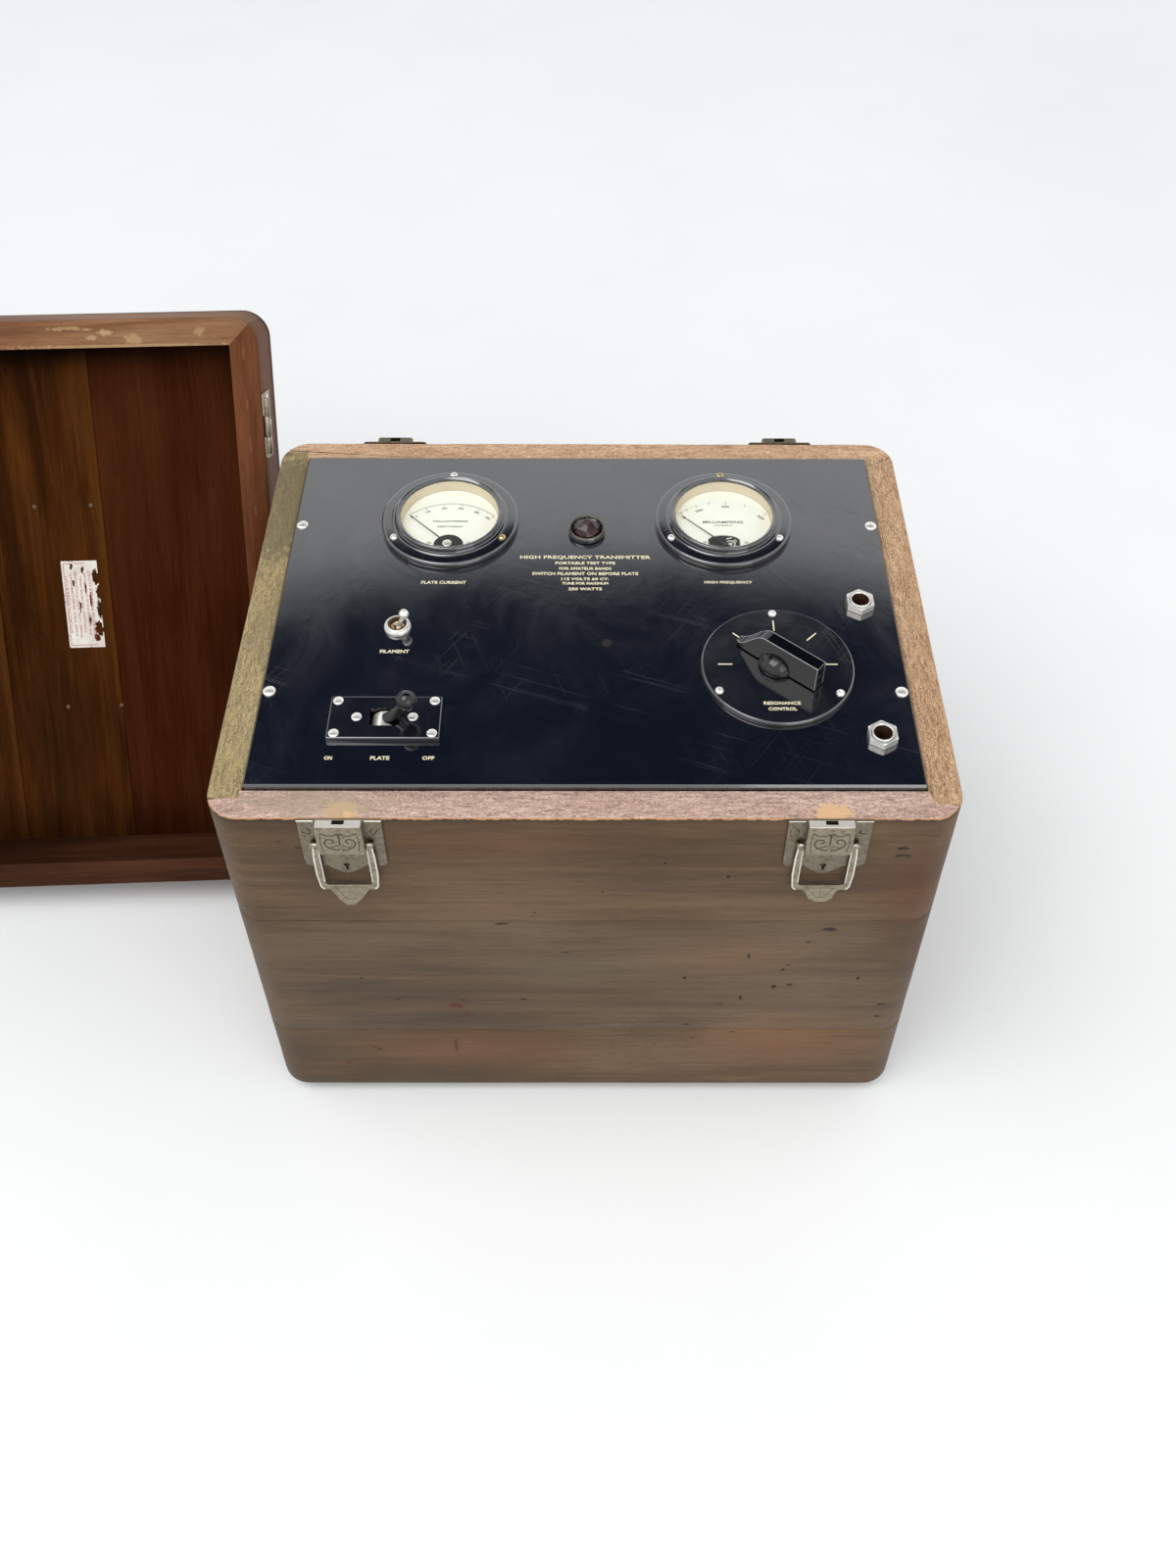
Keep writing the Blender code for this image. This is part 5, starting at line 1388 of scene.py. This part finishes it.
def catch(side, sx):
    """A draw catch on the front: plate with a keyhole, housing with its ornament, screws and loop."""
    place = AT_CASE @ at(sx * CATCH_X, -DEPTH / 2, RIM) @ UPRIGHT
    half, drop = 0.02325, 0.043
    outline = [(half, 0), (-half, 0)]
    outline += arc((-half + 0.004, -drop + 0.004), 0.004, 180, 270, 6)
    outline += [(-0.0105, -drop), (-0.0062, -0.0470)] + arc((0, -0.0440), 0.0060, 210, 330, 8)
    outline += [(0.0062, -0.0470), (0.0105, -drop)]
    outline += arc((half - 0.004, -drop + 0.004), 0.004, 270, 360, 6)
    sheet = slab(outline, GAP, GAP + SHEET, 0.0003)
    slit = cube((0.0015, 0.0034, 0.02), (0, -0.0447, 0))
    sheet = carved(sheet, [moved(rod(0.0017, -0.01, 0.01), at(0, -0.0418, 0)), slit])
    piece("catch_plate_" + side, sheet, "aged", place=place, stands_for=["catch_" + side])
    wide, tall, deep = 0.026, 0.0258, 0.0057
    box = slab(rounded(wide, tall, 0.0022, 5), 0, deep, 0.0011, 4)
    slot = cube((0.0068, 0.014, 0.0028), (0, tall / 2, 0.0020))
    front = GAP + SHEET - 0.0001
    centre = 0.001 - tall / 2
    piece("catch_housing_" + side, carved(box, [slot]), "dull", place=place @ at(0, centre, front))
    face = front + deep
    # Worn bright edges, partly painted highlight: strips down the housing's sides, under its foot and along
    # the plate's top.
    trim = [[(sign * 0.0118, centre + 0.0118, face - 0.0004), (sign * 0.0126, centre, face - 0.0006),
             (sign * 0.0120, -0.0232, face - 0.0006)] for sign in (-1, 1)]
    trim.append([(-0.0118, -0.0240, face - 0.0010), (0, -0.0244, face - 0.0011),
                 (0.0118, -0.0240, face - 0.0010)])
    trim += [[(start, -0.0004, GAP + SHEET), (start + 0.0092, -0.0004, GAP + SHEET)]
             for start in (-0.0232, 0.0140)]
    piece("catch_wear_and_highlight_trim_" + side, joined([tube(path, 0.00028, 6, 3) for path in trim]), "worn", place=place)
    # Painted light: a brighter sheet over the housing's top face.
    cap = carved(cube((wide - 0.0012, 0.0003, deep - 0.0008), (0, 0.00105, front + deep / 2), 0.00012, 1),
                 [cube((0.0068, 0.014, 0.0028), (0, 0, front + 0.0020))])
    piece("catch_painted_light_cap_" + side, cap, "worn", place=place)
    lines = ornament(face)
    for line in lines:
        line.transform(at(0, centre, 0))
    piece("catch_scroll_" + side, joined(lines), "stain", place=place)
    screws("catch_screw_" + side, (0.0028, 0.0012, 0.8, 0.0007, 0.0007),
           [(x, -0.0103, SCREW_SEAT) for x in (-0.019, 0.019)], (0.6 + sx, 1.9 + sx), place=place)
    bail(side, sx)


def bail(side, sx):
    """A pressed loop with ears at its pins and a finger tab, dished or pointed."""
    place = AT_CASE @ at(sx * CATCH_X, -DEPTH / 2 - 0.0036, RIM - 0.020)
    out, strip, foot = 0.01675, 0.0035, -0.0425
    loop = []
    outer = [(-out, 0.0018), (-out, foot + 0.003)] + arc((-out + 0.003, foot + 0.003), 0.003, 180, 270, 5)
    outer += arc((out - 0.003, foot + 0.003), 0.003, 270, 360, 5) + [(out, 0.0018), (out - 0.0012, 0.0018)]
    inner = out - strip
    outer += [(inner, 0.0012), (inner, foot + 0.0070)]
    outer += arc((inner - 0.003, foot + 0.0042 + 0.003), 0.003, 0, -90, 5)
    outer += arc((-inner + 0.003, foot + 0.0042 + 0.003), 0.003, 270, 180, 5)
    outer += [(-inner, 0.0012), (-out + 0.0012, 0.0018)]
    loop.append(slab(outer, -0.0008, 0.0008, 0.0004, 2, True))
    # Bright ribs along the loop's edges and a brow on its tab: worn edges, partly painted highlight.
    bright = []
    for sign in (-1, 1):
        rib = [(sign * (out - 0.0030), 0.0012), (sign * (out - 0.0012), 0.0016),
               (sign * (out - 0.0005), -0.0006), (sign * (out - 0.0005), foot + 0.0035),
               (sign * (out - 0.0022), foot + 0.0006)]
        bright.append(scroll(rib, 0.00055, 0.0006, 0.8))
        bright.append(scroll([(sign * (inner + 0.0003), -0.004), (sign * (inner + 0.0003), foot + 0.0075)],
                             0.00035, 0.0007, 0.8))
        ear = moved(lathe([(0, -0.0006), (0.0019, -0.0006), (0.0019, 0.0006), (0, 0.0009)], 16),
                    at(sign * (out - 0.0001), 0, 0) @ Matrix.Rotation(sign * math.pi / 2, 4, "Y"))
        loop.append(ear)
    for mesh in loop + bright:
        mesh.transform(UPRIGHT)
    tilt = at(0, -0.0026, foot - 0.0026) @ turned(62, "X")
    if side == "left":
        shape = [(-0.0130, 0.0062), (-0.0060, -0.0030), (-0.0022, -0.0062), (0.0022, -0.0062),
                 (0.0060, -0.0030), (0.0130, 0.0062)]
    else:
        shape = [(-0.0135, 0.0062), (-0.0088, 0.0022), (-0.0068, -0.0018), (-0.0030, -0.0040),
                 (0.0030, -0.0040), (0.0068, -0.0018), (0.0088, 0.0022), (0.0135, 0.0062)]
    tab = slab(shape, -0.0007, 0.0007, 0.0004, 2, True)
    dish = [(x * 0.62, y * 0.62 + 0.0012) for x, y in shape]
    tab = carved(tab, [loft([(0.0003, dish), (0.01, [(x * 1.4, y * 1.4) for x, y in dish])], 40)])
    loop.append(moved(tab, tilt))
    brow = tube([(-0.0095, 0.0060, 0.0004), (0, 0.0063, 0.0004), (0.0095, 0.0060, 0.0004)], 0.0007, 8, 3)
    bright.append(moved(brow, tilt))
    if side == "right":
        leafy = [scroll([(0.0015 * a, -0.0022), (0.0028 * a, 0.0004), (0.0052 * a, 0.0020)], 0.0004,
                        0.0003) for a in (-1, 1)]
        leafy.append(scroll([(0, -0.0022), (0, 0.0026)], 0.0004, 0.0003))
        for mesh in leafy:
            loop.append(moved(mesh, tilt))
    piece("catch_loop_" + side, joined(loop), "dull", "bail_" + side, place,
          stands_for=["catch_bail_" + side])
    piece("catch_loop_wear_and_highlight_edges_" + side, joined(bright), "worn", "bail_" + side, place)


def socket(side, sx):
    """Hinge socket on the back, with a slot from above and four screws."""
    place = AT_CASE @ at(sx * HINGE_X, DEPTH / 2, RIM) @ turned(180, "Z") @ UPRIGHT
    sheet = moved(slab(rounded(0.044, 0.036, 0.0025, 4), GAP, GAP + SHEET, 0.0003), at(0, -0.018))
    box = moved(slab(rounded(0.024, 0.022, 0.0018, 4), 0, 0.005, 0.0010, 3),
                at(0, -0.011, GAP + SHEET - 0.0001))
    slot = cube((0.0068, 0.030, 0.0034), (0, 0, GAP + SHEET + 0.0020))
    piece("hinge_plate_" + side, sheet, "aged", place=place, stands_for=["hinge_socket_" + side])
    piece("hinge_housing_" + side, carved(box, [slot]), "aged", place=place)
    screws("hinge_screw_" + side, (0.0026, 0.0011, 0.8, 0.0007, 0.0006),
           [(x, y, SCREW_SEAT) for y in (-0.0065, -0.0290) for x in (-0.0165, 0.0165)], (0.5, 1.4, 2.3, 3.2),
           place=place)


def hinge(side, sx):
    """The lid's half of a take-apart hinge: leaf, knuckles, pin and tongue."""
    outward = Matrix(((-1, 0, 0), (0, 0, 1), (0, 1, 0))).to_4x4()
    place = AT_LID @ at(sx * HINGE_X, DEPTH / 2, 0) @ outward
    leaf = moved(slab(rounded(0.046, 0.024, 0.0020, 4), GAP, GAP + SHEET, 0.0003), at(0, 0.012))
    notch = cube((0.0150, 0.0110, 0.01), (0, 0, 0))
    work = [carved(leaf, [notch])]
    knuckle = [(0, -0.0060), (0.0020, -0.0060), (0.0022, -0.0057), (0.0022, 0.0057), (0.0020, 0.0060),
               (0, 0.0060)]
    sideways = turned(90, "Y")
    axis = GAP + 0.0022 + 0.0001
    for x in (-0.0135, 0.0135):
        work.append(moved(lathe(knuckle, 24), at(x, 0.0027, axis) @ sideways))
    work.append(moved(rod(0.0009, -0.0090, 0.0090, 16), at(0, 0.0027, axis) @ sideways))
    piece("lid_leaf_" + side, joined(work), "dull", "lid", place, stands_for=["lid_hinge_" + side])
    screws("lid_leaf_screw_" + side, (0.0026, 0.0010, 0.7, 0.0007, 0.0006),
           [(x, y, SCREW_SEAT) for x, y in ((-0.0190, 0.0130), (0.0190, 0.0130), (0.0, 0.0190))],
           (0.4, 1.5, 2.6), "nickel", "lid", place)
    roll = moved(lathe([(0.00115, -0.0070), (0.0020, -0.0070), (0.0022, -0.0067), (0.0022, 0.0067),
                        (0.0020, 0.0070), (0.00115, 0.0070)], 24, close=True), sideways)
    tongue = slab([(-0.0031, 0.0012), (0.0031, 0.0012), (0.0031, 0.0052), (0.0021, 0.0062), (-0.0021, 0.0062),
                   (-0.0031, 0.0052)], -0.0007, 0.0007, 0.0002, 1, True)
    piece("hinge_tongue_roll_" + side, joined([roll, tongue]), "dull", "tongue_" + side,
          place @ at(0, 0.0027, axis), stands_for=["hinge_tongue_" + side])


def strike(side, sx):
    """The plate a bail would draw down, with its lip and two screws."""
    place = AT_LID @ at(sx * CATCH_X, -DEPTH / 2, 0) @ UPRIGHT
    sheet = moved(slab(rounded(0.026, 0.018, 0.0022, 4), GAP, GAP + SHEET, 0.0003), at(0, 0.016))
    lip = moved(slab(rounded(0.018, 0.0036, 0.0004, 2), -0.0008, 0.0008, 0.0003, 1, True),
                at(0, 0.0240, GAP + SHEET + 0.0016) @ turned(90, "X"))
    hook = moved(slab(rounded(0.018, 0.0050, 0.0010, 3), -0.0006, 0.0006, 0.0003, 1, True),
                 at(0, 0.0222, GAP + SHEET + 0.0032))
    piece("strike_plate_" + side, joined([sheet, lip, hook]), "aged", "lid", place,
          stands_for=["lid_strike_" + side])
    screws("strike_screw_" + side, (0.0024, 0.0010, 0.8, 0.0006, 0.0006),
           [(x, 0.0120, SCREW_SEAT) for x in (-0.0082, 0.0082)], (0.7, 1.7), body="lid", place=place)


def handle():
    """Two eyed plates and the leather-covered bar that swings in them."""
    face = LID_DEPTH + GAP
    axis = face + HANDLE_AXIS
    for side, sx in (("left", -1), ("right", 1)):
        place = AT_LID @ at(sx * HANDLE_X, 0, face)
        foot = slab(rounded(0.020, 0.052, 0.008, 8), 0, 0.0016, 0.0004)
        outline = [(-0.0060, 0.0012), (0.0060, 0.0012), (0.0060, 0.0085)]
        outline += arc((0, 0.0085), 0.0036, 0, 180, 10) + [(-0.0060, 0.0085)]
        lug = moved(slab(outline, -0.0040, 0.0040, 0.0005, 2, True), UPRIGHT)
        lug.transform(turned(90, "Z"))
        hole = moved(rod(0.0026, -0.02, 0.02), at(0, 0, HANDLE_AXIS) @ turned(90, "Y"))
        piece("handle_lug_" + side, joined([foot, carved(lug, [hole])]), "aged", "lid", place,
              stands_for=["handle_bracket_" + side])
        screws("handle_screw_" + side, (0.0033, 0.0014, 0.8, 0.0008, 0.0008),
               ((0, -0.0195, 0.0015), (0, 0.0195, 0.0015)), (0.5, 1.5), body="lid", place=place)
    half = [(0.0825, 0), (0.0690, 0), (0.0655, 0.0022), (0.0630, 0.0070), (0.0610, 0.0250), (0.0580, 0.0310),
            (0.0520, HANDLE_HEIGHT), (0.0440, HANDLE_HEIGHT)]
    path = [(x, 0, z) for x, z in half] + [(-x, 0, z) for x, z in reversed(half)]
    place = AT_LID @ at(0, 0, axis)
    piece("handle_wire", tube(path, 0.0022, 16, 4), "aged", "handle", place)
    profile = [(0, -0.049), (0.0066, -0.049), (0.0078, -0.0478)]
    profile += [(0.0080 + 0.0005 * math.cos(math.pi * k / 16), -0.046 + 0.092 * k / 32) for k in range(33)]
    profile += [(0.0078, 0.0478), (0.0066, 0.049), (0, 0.049)]
    grip = moved(lathe(profile, 40), at(0, 0, HANDLE_HEIGHT) @ turned(90, "Y"))
    seam = tube([(x / 1000, -0.0078, HANDLE_HEIGHT - 0.003) for x in range(-44, 45, 4)], 0.0007, 6, 1)
    piece("handle_grip", joined([grip, seam]), "leather", "handle", place, stands_for=["carry_handle"])


def hardware():
    for side, sx in (("left", -1), ("right", 1)):
        catch(side, sx)
        socket(side, sx)
        hinge(side, sx)
        strike(side, sx)
    handle()


# ---------------------------------------------------------------- stage


LAMP_SIZE = 1.2
LAMP_TARGET = Vector((0, 0, 0.2))


def stage():
    """A plain pale floor, large enough to fill any view."""
    look = Look("stage_floor", roughness=0.55)
    cloud = look.noise(3, 3)
    color = look.mix(look.range(cloud, 0.3, 0.7), (0.83, 0.835, 0.83), (0.86, 0.865, 0.86))
    floor_material = look.done(color, 0.55)
    shape = bmesh.new()
    lines = [-24 + 2 * k for k in range(25)]
    grid = [[shape.verts.new((x, y, 0)) for x in lines] for y in lines]
    for one, two in zip(grid, grid[1:]):
        for k in range(len(lines) - 1):
            shape.faces.new((one[k], one[k + 1], two[k + 1], two[k]))
    mesh = to_mesh(shape, "floor", 60)
    mesh.materials.append(floor_material)
    linked("floor", mesh)


def lamp(name, place, power):
    """A soft square light at a place beside the case, aimed at the case."""
    data = bpy.data.lights.new(name, "AREA")
    data.shape = "RECTANGLE"
    data.size, data.size_y = LAMP_SIZE, LAMP_SIZE
    data.energy = power
    item = linked(name, data)
    item.location = CASE + place
    item.rotation_euler = (LAMP_TARGET - place).to_track_quat("-Z", "Y").to_euler()


def sky():
    """Soft white surroundings, dark only high up behind the object."""
    world = bpy.data.worlds.new("studio")
    bpy.context.scene.world = world
    world.use_nodes = True
    tree = world.node_tree
    back = tree.nodes["Background"]
    where = tree.nodes.new("ShaderNodeTexCoord")
    split = tree.nodes.new("ShaderNodeSeparateXYZ")
    tree.links.new(where.outputs["Generated"], split.inputs["Vector"])

    def step(socket, low, high):
        node = tree.nodes.new("ShaderNodeMapRange")
        node.interpolation_type = "SMOOTHSTEP"
        node.inputs["From Min"].default_value = low
        node.inputs["From Max"].default_value = high
        tree.links.new(socket, node.inputs["Value"])
        return node.outputs["Result"]

    both = tree.nodes.new("ShaderNodeMath")
    both.operation = "MULTIPLY"
    tree.links.new(step(split.outputs["Z"], 0.684, 0.714), both.inputs[0])
    tree.links.new(step(split.outputs["Y"], 0.10, 0.40), both.inputs[1])
    tint = tree.nodes.new("ShaderNodeMix")
    tint.data_type = "RGBA"
    tint.inputs[6].default_value = (0.97, 0.985, 1.0, 1)
    tint.inputs[7].default_value = (0.02, 0.03, 0.06, 1)
    tree.links.new(both.outputs["Value"], tint.inputs[0])
    tree.links.new(tint.outputs[2], back.inputs["Color"])
    back.inputs["Strength"].default_value = 1.1


def camera():
    """The camera of the photograph, fitted to the panel's and the case's corners."""
    pitch, yaw, roll = 0.7868, 0.0064, 0.0063
    forward = Vector((math.sin(yaw) * math.cos(pitch), math.cos(yaw) * math.cos(pitch), -math.sin(pitch)))
    side = Vector((math.cos(yaw), -math.sin(yaw), 0))
    up = side.cross(forward)
    right = math.cos(roll) * side + math.sin(roll) * up
    up = -math.sin(roll) * side + math.cos(roll) * up
    data = bpy.data.cameras.new("camera")
    item = linked("camera", data)
    turn = Matrix((right, up, -forward)).transposed().to_4x4()
    item.matrix_world = Matrix.Translation(PANEL + Vector((0.00404, -0.64810, 0.67354))) @ turn
    data.lens = 34.71
    data.sensor_width = 36.0
    data.sensor_fit = "AUTO"
    data.shift_x = -0.0075
    data.shift_y = -0.1317
    bpy.context.scene.camera = item


def finish_rest():
    """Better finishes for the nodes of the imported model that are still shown."""
    for name, node in frame["nodes"].items():
        if node.hide_render:
            continue
        for key, look in NODE_LOOKS:
            if name.startswith(key):
                node.data.materials.clear()
                node.data.materials.append(LOOKS[look])
                break


NODE_LOOKS = [
    ("case_floor", "board"), ("panel_ledge", "board"), ("foot", "rubber"), ("control_panel", "panel"),
    ("meter_case", "black"), ("meter_dial", "dial"), ("meter_glass", "glass"), ("meter_needle", "ink"),
    ("pilot_bezel", "black"), ("pilot_jewel", "ruby"), ("pilot_lamp", "phenolic"),
    ("filament_switch_body", "phenolic"), ("filament", "nickel"), ("plate_switch_body", "phenolic"),
    ("plate_condenser", "steel"), ("plate", "black"), ("resonance_plate", "black"),
    ("resonance_knob", "knob"), ("tuning", "vanes"), ("output_jack", "nickel"), ("jack_nut", "nickel"),
    ("catch", "aged"), ("hinge", "aged"), ("lid_hinge", "aged"), ("lid_strike", "aged"), ("lid", "lid_side"),
    ("case", "front"), ("carry_handle", "leather"), ("handle_bracket", "aged"), ("chassis", "steel"),
    ("power_transformer", "steel"), ("oscillator", "valve"), ("tank_coil", "copper"),
    ("rf_choke", "phenolic"),
]

case()
lid()
panel()
hardware()
finish_rest()
stage()
sky()
lamp("key", Vector((-0.7, -0.5, 1.9)), 14)
lamp("fill", Vector((0.9, -1.6, 1.2)), 6)
camera()
bpy.context.scene.view_settings.view_transform = "Standard"
